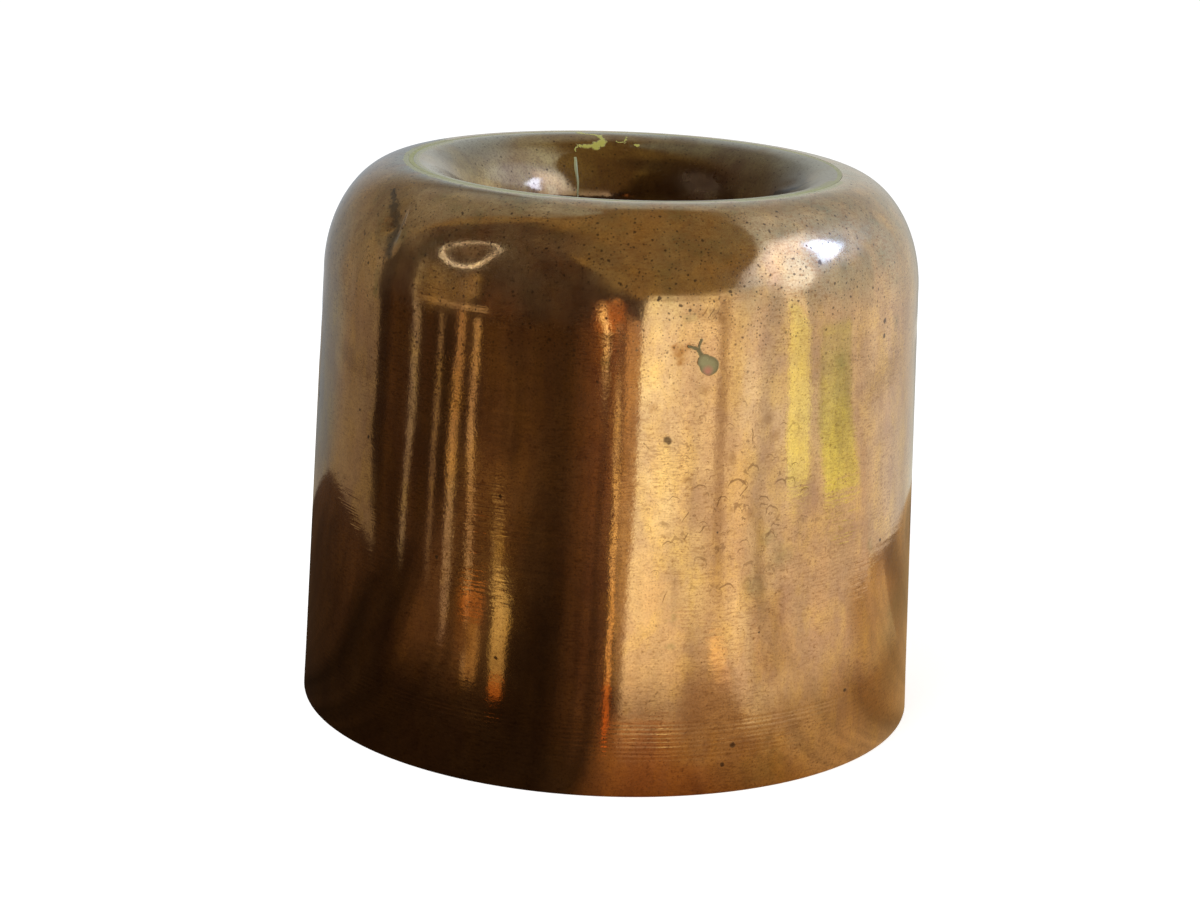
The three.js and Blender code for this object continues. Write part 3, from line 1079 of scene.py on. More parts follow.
@dataclass(frozen=True)
class SpelterFinish:
    """Brazing brass, run in with a torch and filed. It shows pale olive yellow with a dull skin."""

    fresh: str = "b4b57c"
    dull: str = "a5a871"
    grey: str = "a6a67e"
    pit: str = "5c5630"
    roughness: float = 0.36

    def material(self) -> Material:
        """Makes the material."""
        coat = Coat("brazing_brass")
        tone = coat.mottle(2.5, detail=4)
        colour = coat.washed(
            linear(self.fresh),
            [
                (tone, 1.0, self.dull),
                (coat.mottle(22, 0.4, 0.55, shift=9, detail=1), 0.9, self.grey),
                (coat.specks(0.8, 0.4, 3), 0.5, self.pit),
            ],
        )
        inputs = {0: tone, 1: 0.12, 2: self.roughness}
        rough = add(coat.tree, "Math", inputs, operation="MULTIPLY_ADD")
        normal = coat.raised([(coat.mottle(0.9, shift=8), 0.03)])
        return coat.close(base_color=colour, metallic=0.2, roughness=rough, normal=normal)


@dataclass(frozen=True)
class TinFinish:
    """Hot tin wiped round with a rag. It is grey with long soft streaks and some brown bloom."""

    bright: str = "c9c8c2"
    dull: str = "8e8b83"
    bloom: str = "6f6553"
    roughness: float = 0.34

    def material(self) -> Material:
        """Makes the material."""
        coat = Coat("wiped_tin")
        wipes = coat.mottle(5, squash=(0.25, 0.25, 1), detail=4)
        colour = coat.washed(
            linear(self.bright),
            [
                (wipes, 1.0, self.dull),
                (coat.mottle(18, 0.5, 0.72, shift=50, detail=4), 1.0, self.bloom),
            ],
        )
        inputs = {0: wipes, 1: 0.16, 2: self.roughness}
        rough = add(coat.tree, "Math", inputs, operation="MULTIPLY_ADD")
        normal = coat.raised([(coat.mottle(3, squash=(0.3, 0.3, 1), shift=14), 0.03)])
        return coat.close(base_color=colour, metallic=1.0, roughness=rough, normal=normal)


# The mould's parts


@dataclass
class Casing:
    """Wall, rounded shoulder and crest in one spun sheet, with its coat of tin inside."""

    steps: int = 360
    groove_levels: tuple[float, ...] = (7.6, 8.5, 9.3, 10.3, 11.2, 11.9, 12.9, 13.8, 14.5)
    groove_depth: float = 0.016
    groove_width: float = 0.22
    groove_zone: Pair = (7.0, 15.6)
    row_pitches: Triple = (1.2, 0.2, 1.45)
    wall_top: float = 88.4
    rim_chamfer: float = 0.3
    edge_chamfer: float = 0.08
    tin_steps: int = 240
    tin_setback: float = 0.4
    relief: Relief = field(default_factory=Relief)

    def outline(self) -> Profile:
        """The sheet's closed outline, up the outside and down the inside."""
        s = SIZES
        rim = s.rim_radius
        outer = [(rim - s.sheet, 0.0), (rim - self.rim_chamfer, 0.0), (rim - 0.07, 0.09)]
        low, high = self.groove_zone
        below, among, above = self.row_pitches
        rows = [0.3, *levels(1.0, low, below), *levels(low, high, among)]
        rows += levels(high, self.wall_top, above)
        wall = [(s.wall_radius(z), z) for z in rows]
        shoulder = s.shoulder(0, 0, 90, 46)
        edge = s.seam_radius
        cut = self.edge_chamfer
        crest = [(edge + cut, s.height), (edge, s.height - cut), (edge, s.height - s.sheet)]
        inner = s.shoulder(s.sheet, 90, 0, 26)
        inside = [(s.wall_radius(z) - s.sheet, z) for z in reversed(levels(3.0, self.wall_top, 3.5))]
        return outer + wall + shoulder + crest + inner + inside

    def shift(self, place: Vector) -> Vector:
        """How far a place on the sheet moves, its turned grooves included, in millimetres."""
        move = self.relief.shift(place)
        radius = math.hypot(place.x, place.y)
        if place.z < 20 and radius > SIZES.wall_radius(place.z) - 0.3:
            away = [(place.z - z) / self.groove_width for z in self.groove_levels]
            depth = sum(math.exp(-(share**2)) for share in away)
            move -= Vector((place.x, place.y, 0)) * (self.groove_depth * depth / radius)
        return move

    def build(self, copper: Material, tin: Material) -> list[Object]:
        """Builds the sheet and its tin.

        Args:
            copper: Finish of the outside.
            tin: Finish of the food side.

        Returns:
            The two pieces.
        """
        shell = Form("casing_shell")
        shell.spin(self.outline(), self.steps)
        shell.press(self.shift)
        coat = Form("casing_tin")
        coat.spin(self.tin_outline(), self.tin_steps)
        coat.press(self.relief.shift)
        return [
            shell.finish(copper, "casing_copper", "casing"),
            coat.finish(tin, "tin", "casing_tinning"),
        ]

    def tin_outline(self) -> Profile:
        """The tin's closed outline, from just above the rim to the flange's tip."""
        s = SIZES
        under = s.sheet + s.gap
        face = under + s.tin
        end = math.degrees(math.acos(s.flange / s.shoulder_reach)) - 2.2
        rows = levels(self.tin_setback, self.wall_top, 3.2)
        outer = [(s.wall_radius(z) - under, z) for z in rows]
        inner = [(s.wall_radius(z) - face, z) for z in reversed(rows)]
        return outer + s.shoulder(under, 0, end, 24) + s.shoulder(face, end, 0, 24) + inner


@dataclass
class Well:
    """The well in the middle: flange, rounded lip and cone, its cap, and the tin on the food side."""

    steps: int = 288
    cap_steps: int = 144
    tin_steps: int = 200
    crease_azimuth: float = 11.0
    crease_level: float = 107.2
    crease_depth: float = 0.3
    crease_half_length: float = 10.0
    crease_half_width: Pair = (2.6, 1.2)
    swell: float = 0.07
    swell_length: float = 14.0
    seam_azimuth: float = math.radians(108.0)
    seam_relief: float = 0.12
    cap_seam_height: float = 1.2

    def outline(self) -> Profile:
        """The sheet's closed outline, from the flange's tip over the lip to the cone's foot."""
        s = SIZES
        top = s.sheet + s.gap
        under = top + s.sheet
        tip = math.degrees(math.acos(s.flange / s.shoulder_reach))
        foot = s.cap_edge + s.gap
        end = s.lip_end()
        rows = levels(s.lip(0, end, end, 1)[0][1] - 2, foot, 3.5)
        outer = [(s.cone(0, z), z) for z in rows] + [(s.cone(0, foot), foot)]
        inner = [(s.cone(s.sheet, foot), foot)] + [(s.cone(s.sheet, z), z) for z in reversed(rows)]
        return (
            s.shoulder(top, tip, 90, 5)
            + [(s.seam_radius - 0.2, s.height - top)]
            + s.lip(0, 90, end, 44)
            + outer
            + inner
            + s.lip(s.sheet, end, 90, 22)[:-1]
            + [(s.lip_centre[0], s.height - under)]
            + s.shoulder(under, 90, tip, 5)
        )

    def shift(self, place: Vector) -> Vector:
        """How far a place on the well moves, in millimetres."""
        radius = math.hypot(place.x, place.y)
        if radius > SIZES.lip_centre[0]:
            return SHOULDER_FLAT.shift(place, layer_depth(round(radius, 3), round(place.z, 3)))
        azimuth = math.degrees(math.atan2(place.y, place.x))
        turn = math.radians((azimuth - self.crease_azimuth + 180) % 360 - 180) * radius
        fall = (place.z - self.crease_level) * 1.25 + turn * 0.30
        above, below = self.crease_half_width
        away = math.hypot(turn / self.crease_half_length, fall / (above if fall > 0 else below))
        crease = self.crease_depth * (1 - smooth_step(0, 1.0, away))
        swell = noise.noise(place / self.swell_length) * self.swell
        held = 1 - smooth_step(107.0, 110.4, place.z)
        return Vector((place.x, place.y, 0)) * ((crease + swell) * held / radius)

    def build(self, copper: Material, brass: Material, tin: Material) -> list[Object]:
        """Builds the well and what is brazed to it.

        Args:
            copper: Finish of the well and its cap.
            brass: Finish of the seams.
            tin: Finish of the food side.

        Returns:
            The pieces.
        """
        shell = Form("well_shell")
        shell.spin(self.outline(), self.steps)
        shell.press(self.shift)
        cap = Form("well_cap_dish")
        cap.spin(self.cap_outline(), self.cap_steps, closed=False)
        ring = Form("crest_seam")
        ring.spin(self.crest_seam_outline(), self.steps)
        fillet = Form("cap_seam")
        fillet.spin(self.cap_seam_outline(), self.cap_steps)
        food = Form("well_tin")
        food.spin(self.tin_outline(), self.tin_steps)
        food.press(self.shift)
        under = Form("cap_tin")
        under.spin(self.cap_tin_outline(), self.cap_steps, closed=False)
        return [
            shell.finish(copper, "well_copper", "well"),
            cap.finish(copper, "well_copper", "well_cap"),
            ring.finish(brass, "spelter", "crest_braze"),
            fillet.finish(brass, "spelter", "cap_braze"),
            self.side_seam().finish(brass, "spelter", "well_side_braze"),
            food.finish(tin, "tin", "well_tinning"),
            under.finish(tin, "tin", "cap_tinning"),
        ]

    def cap_outline(self) -> Profile:
        """The cap, a dished disc with its edge turned up over the cone."""
        s = SIZES
        outer = 2 * s.sheet + s.gap
        inner = s.sheet + s.gap
        top = s.cap_edge + s.cap_skirt
        return (
            s.dish(outer, s.cap_dish + s.sheet, 20)
            + [(s.cone(outer, top), top), (s.cone(inner, top), top)]
            + s.dish(inner, s.cap_dish, 20)[::-1]
        )

    def cap_tin_outline(self) -> Profile:
        """The tin over the cap, its edge and its seam."""
        s = SIZES
        under = 2 * s.sheet + 2 * s.gap
        face = under + s.tin
        foot = s.cap_edge + s.cap_skirt + s.gap
        top = foot + self.cap_seam_height + s.gap
        inner = s.sheet + 2 * s.gap
        return (
            s.dish(face, s.cap_dish + s.sheet + s.gap + s.tin, 20)
            + [(s.cone(face, foot), foot), (s.cone(inner + s.tin, top), top)]
            + [(s.cone(inner, top), top), (s.cone(under, foot), foot)]
            + s.dish(under, s.cap_dish + s.sheet + s.gap, 20)[::-1]
        )

    def cap_seam_outline(self) -> Profile:
        """The brass fillet above the cap's edge."""
        s = SIZES
        foot = s.cap_edge + s.cap_skirt + s.gap
        outer = 2 * s.sheet + s.gap
        inner = s.sheet + s.gap
        top = foot + self.cap_seam_height
        return [(s.cone(inner, foot), foot), (s.cone(outer, foot), foot), (s.cone(inner, top), top)]

    def crest_seam_outline(self) -> Profile:
        """The brass between the casing's edge and the lip."""
        s = SIZES
        outer = s.seam_radius - 0.01
        inner = s.lip_centre[0] + 0.01
        return [
            (inner, s.height - 0.01),
            (outer, s.height - 0.01),
            (outer, s.height - s.sheet),
            (inner + 0.7, s.height - s.sheet),
        ]

    def tin_outline(self) -> Profile:
        """The tin on the cone's food side, round the lip and under the flange."""
        s = SIZES
        cone = s.sheet + s.gap
        flange = 2 * (s.sheet + s.gap)
        end = s.lip_end()
        tip = math.degrees(math.acos(s.flange / s.shoulder_reach)) - 1.4
        foot = s.cap_edge + s.cap_skirt + s.gap + self.cap_seam_height + 2 * s.gap
        rows = levels(s.lip(cone, end, end, 1)[0][1] - 2, foot, 4) + [foot]
        return (
            s.shoulder(flange, tip, 90, 6)
            + [(s.lip_centre[0], s.height - flange)]
            + s.lip(cone, 90, end, 20)[1:]
            + [(s.cone(cone, z), z) for z in rows]
            + [(s.cone(cone + s.tin, z), z) for z in reversed(rows)]
            + s.lip(cone + s.tin, end, 90, 20)[:-1]
            + [(s.lip_centre[0], s.height - flange - s.tin)]
            + s.shoulder(flange + s.tin, 90, tip, 6)
        )

    def side_seam(self) -> Form:
        """The brass line down the well's side, thin and unsteady."""
        s = SIZES
        end = s.lip_end()
        start = 90 + 0.52 * (end - 90)
        foot = s.cap_edge + s.gap + 0.3
        rows = levels(s.lip(0, end, end, 1)[0][1] - 1.5, foot, 1.5) + [foot]
        line = s.lip(-0.02, start, end, 14) + [(s.cone(-0.02, z), z) for z in rows]
        form = Form("well_side_seam")
        proud = self.seam_relief
        for radius, level in line:
            sway = 0.45 * noise.noise(Vector((level / 4.0, 3.1, 0.0)))
            width = 0.30 + 0.14 * noise.noise(Vector((level / 3.0, 9.7, 0.0)))
            width *= 0.45 + 0.55 * smooth_step(98.0, 103.0, level)
            for side, lift in ((-1, 0.0), (-0.55, proud), (0.55, proud), (1, 0.0)):
                turn = self.seam_azimuth + (sway + side * width) / radius
                reach = radius - lift
                spot = Vector((reach * math.cos(turn), reach * math.sin(turn), level))
                form.mesh.verts.new(spot * MM)
        form.mesh.verts.ensure_lookup_table()
        verts = form.mesh.verts
        for k in range(len(line) - 1):
            for j in range(4):
                n = (j + 1) % 4
                around = (4 * k + j, 4 * k + n, 4 * k + 4 + n, 4 * k + 4 + j)
                form.mesh.faces.new([verts[i] for i in around])
        last = 4 * (len(line) - 1)
        form.mesh.faces.new([verts[j] for j in range(4)])
        form.mesh.faces.new([verts[last + j] for j in range(4)])
        bmesh.ops.recalc_face_normals(form.mesh, faces=form.mesh.faces)
        return form


# The studio


class Share(Enum):
    """What a card shows across its face."""

    PLAIN = "plain"
    HOOP = "hoop"


@dataclass(frozen=True)
class Card:
    """A painted card that only the metal sees, as in a photographer's tent.

    The tent is a round floor, a drum and a lid. Reach is the distance in millimetres along it: below 0
    on the floor, counted from the drum's foot inwards, then up the drum, and past its top in over the
    lid. Each stop is a reach with the azimuths of the card's two edges, in degrees. The colour runs
    from the foot to the head, and soft gives the shares of the card over which its left edge, its right
    edge, its foot and its head fade. A card with a smaller radius stands in the tent, that far from the
    axis.
    """

    name: str
    foot: Triple
    head: Triple
    stops: tuple[Triple, ...]
    soft: tuple[float, float, float, float] = (0.1, 0.1, 0.05, 0.05)
    streaks: float = 0.0
    ripple: float = 0.0
    torn: float = 0.0
    share: Share = Share.PLAIN
    radius: float = 400.0

    @property
    def length(self) -> float:
        """Reach from foot to head, in millimetres."""
        return self.stops[-1][0] - self.stops[0][0]

    @property
    def breadth(self) -> float:
        """Widest the card is, in degrees."""
        return max(right - left for _, left, right in self.stops)


@dataclass
class Tent:
    """The drum of cards round the mould.

    Each card hangs a small step in front of the one before it. A torn card has holes as wide in degrees
    and as long in millimetres as tear says.
    """

    drum_radius: float = 400.0
    drum_height: float = 430.0
    floor_step: float = 0.004
    drum_step: float = 0.0015
    lid_step: float = 0.6
    hoop_fades: tuple[Pair, ...] = ((0.430, 0.416), (0.386, 0.401))
    tear: Pair = (0.55, 5.0)
    streak_scale: Triple = (9, 1.3, 1)
    cards: Sequence[Card] = ()

    def place(self, reach: float, azimuth: float, layer: int, radius: float) -> Vector:
        """The point at a reach and an azimuth for a card of some radius, in metres."""
        low = self.floor_step * (layer + 1)
        if reach < 0:
            spot = on_axis(azimuth, self.drum_radius + reach, low)
        elif reach < self.drum_height:
            spot = on_axis(azimuth, radius * (1 - self.drum_step * layer), max(reach, low))
        else:
            inwards = max(self.drum_radius + self.drum_height - reach, 0.01)
            spot = on_axis(azimuth, inwards, self.drum_height - self.lid_step * layer)
        return spot * MM

    def edges(self, card: Card, reach: float) -> Pair:
        """Azimuths of a card's two edges at a reach."""
        for (r0, a0, b0), (r1, a1, b1) in zip(card.stops, card.stops[1:]):
            if reach <= r1:
                share = (reach - r0) / (r1 - r0)
                return (a0 + (a1 - a0) * share, b0 + (b1 - b0) * share)
        return card.stops[-1][1:]

    def hang(self, card: Card, layer: int) -> Object:
        """Makes one card.

        Args:
            card: What it is.
            layer: How many cards lie behind it.

        Returns:
            The card's object.
        """
        low = card.stops[0][0]
        mesh = bmesh.new()
        mesh.loops.layers.uv.new("UVMap")
        across = max(2, round(card.breadth / 4))
        along = max(2, round(card.length / card.radius * 29))
        bmesh.ops.create_grid(mesh, x_segments=across, y_segments=along, size=0.5, calc_uvs=True)
        for vert in mesh.verts:
            u, v = vert.co.x + 0.5, vert.co.y + 0.5
            reach = low + card.length * v
            left, right = self.edges(card, reach)
            sway = card.ripple * noise.noise(Vector((reach / 30.0, layer * 3.7, 0.0)))
            vert.co = self.place(reach, left + (right - left) * u + sway, layer, card.radius)
        thing = settle("card_" + card.name, mesh, self.paint(card, layer))
        thing.data.shade_smooth()
        for rays in ("camera", "diffuse", "transmission", "shadow", "volume_scatter"):
            setattr(thing, "visible_" + rays, False)
        return thing

    def paint(self, card: Card, layer: int) -> Material:
        """A card's own light, fading at its edges.

        Args:
            card: What it is.
            layer: Sets its pattern apart from those of other cards.

        Returns:
            The material.
        """
        material = bpy.data.materials.new("card_" + card.name)
        tree = bare_tree(material)
        place = add(tree, "TexCoord", output="UV")
        u, v, _ = add(tree, "SeparateXYZ", {0: place}).node.outputs
        left, right, foot, head = (max(share, 0.001) for share in card.soft)
        fades = [(u, 0.0, left), (u, 1.0, 1 - right), (v, 0.0, foot), (v, 1.0, 1 - head)]
        if card.share is Share.HOOP:
            centred = add(tree, "Mapping", {"Vector": place, "Location": (-0.5, -0.5, 0)})
            wide = add(tree, "VectorMath", {0: centred}, output="Value", operation="LENGTH")
            fades = [(wide, low, high) for low, high in self.hoop_fades]
        solid: Reading = 1.0
        for value, low, high in fades:
            inputs = {"Value": value, "From Min": low, "From Max": high}
            fade = add(tree, "MapRange", inputs, interpolation_type="SMOOTHSTEP")
            solid = add(tree, "Math", {0: solid, 1: fade}, operation="MULTIPLY")
        if card.torn:
            fine = (card.breadth / self.tear[0], card.length / self.tear[1], 1)
            inputs = {"Vector": place, "Location": (layer * 1.7, layer * 4.1, 0), "Scale": fine}
            moved = add(tree, "Mapping", inputs)
            cloud = add(tree, "TexNoise", {"Vector": moved, "Scale": 1.0, "Detail": 2.0}, output="Fac")
            inputs = {"Value": cloud, "From Min": 0.38, "From Max": 0.58, "To Min": 1 - card.torn}
            holes = add(tree, "MapRange", inputs)
            solid = add(tree, "Math", {0: solid, 1: holes}, operation="MULTIPLY")
        strength: Reading = 1.0
        if card.streaks:
            inputs = {"Vector": place, "Location": (layer * 5.3, layer * 2.1, 0)}
            moved = add(tree, "Mapping", {**inputs, "Scale": self.streak_scale})
            cloud = add(tree, "TexNoise", {"Vector": moved, "Scale": 1.0, "Detail": 3.0}, output="Fac")
            inputs = {"Value": cloud, "From Min": 0.3, "From Max": 0.7}
            inputs.update({"To Min": 1 - card.streaks, "To Max": 1 + card.streaks})
            strength = add(tree, "MapRange", inputs)
        inputs = {0: v, 6: (*card.foot, 1.0), 7: (*card.head, 1.0)}
        colour = add(tree, "Mix", inputs, output=2, data_type="RGBA")
        glow = add(tree, "Emission", {"Color": colour, "Strength": strength})
        clear = add(tree, "BsdfTransparent")
        mixed = add(tree, "MixShader", {0: solid, 1: clear, 2: glow})
        add(tree, "OutputMaterial", {"Surface": mixed})
        return material


# The room round the mould. Each card stands before those above it in the list
OLIVE = (0.31, 0.23, 0.095)
UMBER = (0.15, 0.11, 0.07)
NIGHT = (0.034, 0.022, 0.014)
PALE = (0.66, 0.66, 0.59)
NEAR = 153.0
CARDS = (
    # overhead
    Card("behind_all", NIGHT, UMBER, ((-345, -262, 100), (260, -262, 100)), soft=(0, 0, 0, 0)),
    Card("lid", OLIVE, OLIVE, ((200, -262, 100), (828, -262, 100)), soft=(0, 0, 0, 0), streaks=0.1),
    Card(
        "lid_left", (0.32, 0.32, 0.29), (0.32, 0.34, 0.34),
        ((200, -262, -182), (560, -262, -182), (800, -262, -185)),
        soft=(0, 0.08, 0, 0.15),
    ),
    Card(
        "lid_rim", (0.36, 0.38, 0.36), (0.42, 0.5, 0.56),
        ((200, -262, -222), (560, -262, -225), (800, -262, -195)),
        soft=(0, 0.5, 0.1, 0.08),
    ),
    Card(
        "lid_right", (0.55, 0.57, 0.57), (0.52, 0.54, 0.54),
        ((180, -56, 100), (300, -48, 100), (420, -38, 100), (520, -31, 100), (640, -20, 100),
         (720, -4, 100)),
        soft=(0.12, 0, 0, 0.25),
    ),
    Card(
        "lid_bright", (0.86, 0.92, 1.04), (0.74, 0.84, 1.0),
        ((180, -52, 60), (300, -47, 62), (420, -38, 66), (520, -31, 66), (640, -22, 60), (740, -8, 50)),
        soft=(0.1, 0.45, 0.1, 0.25),
    ),
    Card(
        "halo", (1.05, 1.26, 1.85), (0.9, 1.08, 1.6),
        ((165, -53, 38), (240, -50, 44), (330, -46, 44), (400, -39, 32), (480, -30, 22), (560, -22, 14)),
        soft=(0.12, 0.4, 0.15, 0.35),
    ),
    Card(
        "dark_room", (0.048, 0.024, 0.01), (0.1, 0.056, 0.026),
        ((180, -187.5, -90), (250, -185, -89), (330, -183.5, -90), (380, -183, -94), (440, -181, -101),
         (520, -177, -109), (600, -171, -119), (700, -163, -132), (770, -158, -145)),
        soft=(0.03, 0.12, 0, 0.22), streaks=0.25,
    ),
    Card(
        "dark_haze", (0.12, 0.085, 0.05), (0.12, 0.085, 0.05),
        ((480, -130, -90), (560, -140, -75), (640, -140, -62), (700, -135, -60), (740, -130, -70)),
        soft=(0.1, 0.75, 0.2, 0.35), streaks=0.2,
    ),
    # the table
    Card("table_dark", NIGHT, NIGHT, ((-345, -262, 100), (-150, -262, 100)), (0, 0, 0, 0), 0.25),
    Card(
        "table_brown", (0.36, 0.22, 0.09), (0.46, 0.34, 0.18),
        ((-345, -96, 100), (-300, -92, 100), (-150, -88, 100)),
        soft=(0.2, 0, 0, 0.1), streaks=0.38,
    ),
    Card(
        "table_pale", (0.5, 0.38, 0.22), (0.52, 0.42, 0.28),
        ((-345, -54, -12), (-262, -54, -8)),
        soft=(0.3, 0.4, 0, 0.2), streaks=0.25,
    ),
    # the walls at the left and in front, seen on the left half
    Card(
        "left_wall", (0.25, 0.215, 0.165), (0.3, 0.27, 0.215),
        ((-345, -262, -200), (-203, -262, -174), (0, -262, -174), (400, -262, -176)),
        soft=(0, 0.03, 0.0, 0.25), streaks=0.14,
    ),
    Card(
        "left_shade", (0.215, 0.2, 0.17), (0.215, 0.2, 0.17),
        ((205, -262, -184), (430, -262, -184)),
        soft=(0, 0.06, 0.25, 0.45),
    ),
    Card(
        "left_cool", (0.19, 0.21, 0.21), (0.32, 0.37, 0.42),
        ((-240, -246, -206), (-60, -246, -203), (240, -246, -205)),
        soft=(0.2, 0.4, 0.2, 0.35),
    ),
    Card(
        "left_rim", (0.4, 0.45, 0.5), (0.42, 0.47, 0.52),
        ((-60, -262, -232), (0, -262, -230), (200, -262, -226), (340, -262, -230)),
        soft=(0, 0.65, 0.25, 0.35),
    ),
    Card(
        "left_glint", (1.45, 1.7, 2.0), (1.4, 1.6, 1.85),
        ((-100, -262, -244), (25, -262, -246)),
        soft=(0.12, 0.5, 0.25, 0.3),
    ),
    Card(
        "left_brown", (0.03, 0.017, 0.009), (0.072, 0.04, 0.021),
        ((-345, -239, -168), (-245, -235, -170), (-194, -221, -176), (-184, -218, -188),
         (-173, -214, -197), (-164, -210, -206)),
        soft=(0.03, 0.02, 0, 0.04), streaks=0.25,
    ),
    Card(
        "front_wall", (0.05, 0.03, 0.017), (0.06, 0.033, 0.015),
        ((-345, -176, -86), (-190, -176.5, -84), (-160, -179.5, -83.8), (-120, -180.8, -83.6),
         (-60, -184.5, -83.3), (10, -184.6, -83), (145, -186, -82), (300, -184, -88)),
        soft=(0.008, 0.015, 0, 0.2), streaks=0.45,
    ),
    Card(
        "front_pale", (0.14, 0.1, 0.06), (0.185, 0.145, 0.1),
        ((20, -168, -140), (100, -168, -140), (235, -168, -142)),
        soft=(0.15, 0.3, 0.35, 0.25), streaks=0.35,
    ),
    Card(
        "left_deep", (0.026, 0.015, 0.009), (0.044, 0.026, 0.015),
        ((-250, -177, -170), (-190, -176.5, -169), (-160, -181.5, -173), (-120, -183, -175),
         (-60, -186.5, -177), (10, -185.6, -177), (145, -186.3, -177), (300, -184, -178)),
        soft=(0.05, 0.45, 0.3, 0.2),
    ),
    Card(
        "front_low", (0.02, 0.012, 0.007), (0.04, 0.022, 0.012),
        ((-345, -183, -92), (-240, -183, -94), (-60, -128, -100)),
        soft=(0.1, 0.12, 0, 0.5), streaks=0.35,
    ),
    Card(
        "front_warm", (0.105, 0.06, 0.03), (0.12, 0.07, 0.035),
        ((-300, -163, -118), (-150, -158, -108), (-60, -146, -108), (20, -141, -108), (100, -141, -112)),
        soft=(0.25, 0.4, 0.15, 0.4), streaks=0.45,
    ),
    Card(
        "front_russet", (0.09, 0.043, 0.016), (0.085, 0.04, 0.014),
        ((40, -142, -120), (235, -139, -122)),
        soft=(0.3, 0.4, 0.3, 0.3), streaks=0.3,
    ),
    Card(
        "front_red", (0.1, 0.055, 0.028), (0.19, 0.09, 0.045),
        ((-330, -108, -84), (-100, -109, -84), (60, -107, -83), (170, -103, -82)),
        soft=(0.65, 0.08, 0.12, 0.3), streaks=0.55,
    ),
    # the bright wall at the right
    Card(
        "foot_glow", (0.17, 0.07, 0.022), (0.6, 0.32, 0.14),
        ((-345, -98, -50), (-300, -94, -58), (-272, -90, -66)),
        soft=(0.25, 0.5, 0.1, 0.35), streaks=0.15,
    ),
    Card(
        "right_wall", (0.92, 0.88, 0.82), (0.8, 0.87, 0.98),
        ((-308, -66, 4), (-240, -62, 9), (0, -60, 18), (245, -60, 26)),
        soft=(0.2, 0.06, 0.1, 0.08), streaks=0.16,
    ),
    Card(
        "wall_russet", (0.68, 0.58, 0.48), (0.66, 0.56, 0.48),
        ((-290, -50, -26), (-250, -50, -26), (-180, -49, -28)),
        soft=(0.25, 0.4, 0.35, 0.3), streaks=0.3,
    ),
    Card(
        "foot_olive", (0.62, 0.5, 0.27), (0.64, 0.5, 0.3),
        ((-308, -14, 18), (-270, -13, 18), (-212, -10, 18)),
        soft=(0.35, 0, 0.3, 0.25), streaks=0.2,
    ),
    Card(
        "right_pale", PALE, (0.7, 0.71, 0.68),
        ((-204, 8.2, 100), (-70, 10.2, 100), (0, 10, 100), (250, 20, 100)),
        soft=(0.012, 0, 0.015, 0.1), streaks=0.08,
    ),
    Card(
        "pale_near", (0.88, 0.92, 0.92), (0.95, 0.98, 1.05),
        ((-212, 8.2, 44), (-70, 10.2, 45), (0, 10, 46), (250, 20, 50)),
        soft=(0.02, 0.6, 0.015, 0.1), streaks=0.08,
    ),
    Card(
        "right_dim", (0.36, 0.35, 0.31), (0.36, 0.36, 0.34),
        ((-200, 52, 100), (160, 56, 100)),
        soft=(0.4, 0, 0.1, 0.4),
    ),
    Card(
        "right_blot", (0.1, 0.052, 0.022), (0.11, 0.058, 0.026),
        ((-264, 34, 78), (-235, 38, 88), (-200, 44, 96)),
        soft=(0.45, 0.35, 0.4, 0.4),
    ),
    Card(
        "warm_gap", (0.66, 0.5, 0.3), (0.5, 0.31, 0.15),
        ((-300, -88.6, -81), (-100, -88.2, -80.5), (120, -88, -80)),
        soft=(0.25, 0.1, 0.2, 0.2), streaks=0.35,
    ),
    Card(
        "bright_wall", (0.98, 0.9, 0.74), (1.15, 1.14, 1.06),
        ((-322, -88.6, -47), (-290, -87.6, -45), (-254, -86.4, -43.5), (-202, -85.4, -42.3),
         (-140, -84.0, -41), (-65, -83.3, -40), (5, -83.0, -38.5), (61, -83.2, -37), (150, -82.6, -34),
         (240, -79, -28)),
        soft=(0.055, 0.12, 0.18, 0.14), streaks=0.18,
    ),
    Card(
        "bright_edge", (1.28, 1.24, 1.02), (1.45, 1.58, 1.5),
        ((-296, -87.0, -69), (-211, -85.3, -66), (-104, -83.4, -66), (8, -82.5, -66), (61, -82.6, -66),
         (214, -79.4, -66)),
        soft=(0.08, 0.35, 0.18, 0.08), streaks=0.12,
    ),
    Card(
        "bright_middle", (1.12, 1.12, 0.92), (1.15, 1.18, 1.0),
        ((-215, -75, -57.5), (-80, -74, -57.5)),
        soft=(0.35, 0.25, 0.2, 0.35), streaks=0.12,
    ),
    Card(
        "wall_seam", (0.62, 0.56, 0.46), (0.66, 0.62, 0.52),
        ((-235, -44.5, -37.5), (-60, -42, -36)),
        soft=(0.4, 0.4, 0.2, 0.4), streaks=0.15,
    ),
    Card(
        "bright_gap", (0.8, 0.7, 0.55), (0.55, 0.46, 0.36),
        ((-230, -58, -53), (0, -57, -50.5), (210, -58, -50)),
        soft=(0.4, 0.4, 0.2, 0.1),
    ),
    Card(
        "wall_patch", (1.08, 1.12, 1.16), (1.1, 1.12, 1.12),
        ((-35, -49, -37), (100, -49, -37), (200, -48, -36)),
        soft=(0.4, 0.4, 0.2, 0.2), streaks=0.1,
    ),
    Card(
        "wall_spot", (1.15, 1.25, 1.3), (1.05, 1.1, 1.15),
        ((-40, -35.5, -27), (30, -35.5, -28)),
        soft=(0.35, 0.4, 0.35, 0.35), streaks=0.1,
    ),
    Card(
        "bright_dim", (0.74, 0.7, 0.62), (0.74, 0.7, 0.62),
        ((80, -60.5, -55.5), (165, -60, -55)),
        soft=(0.4, 0.4, 0.35, 0.35),
    ),
    Card(
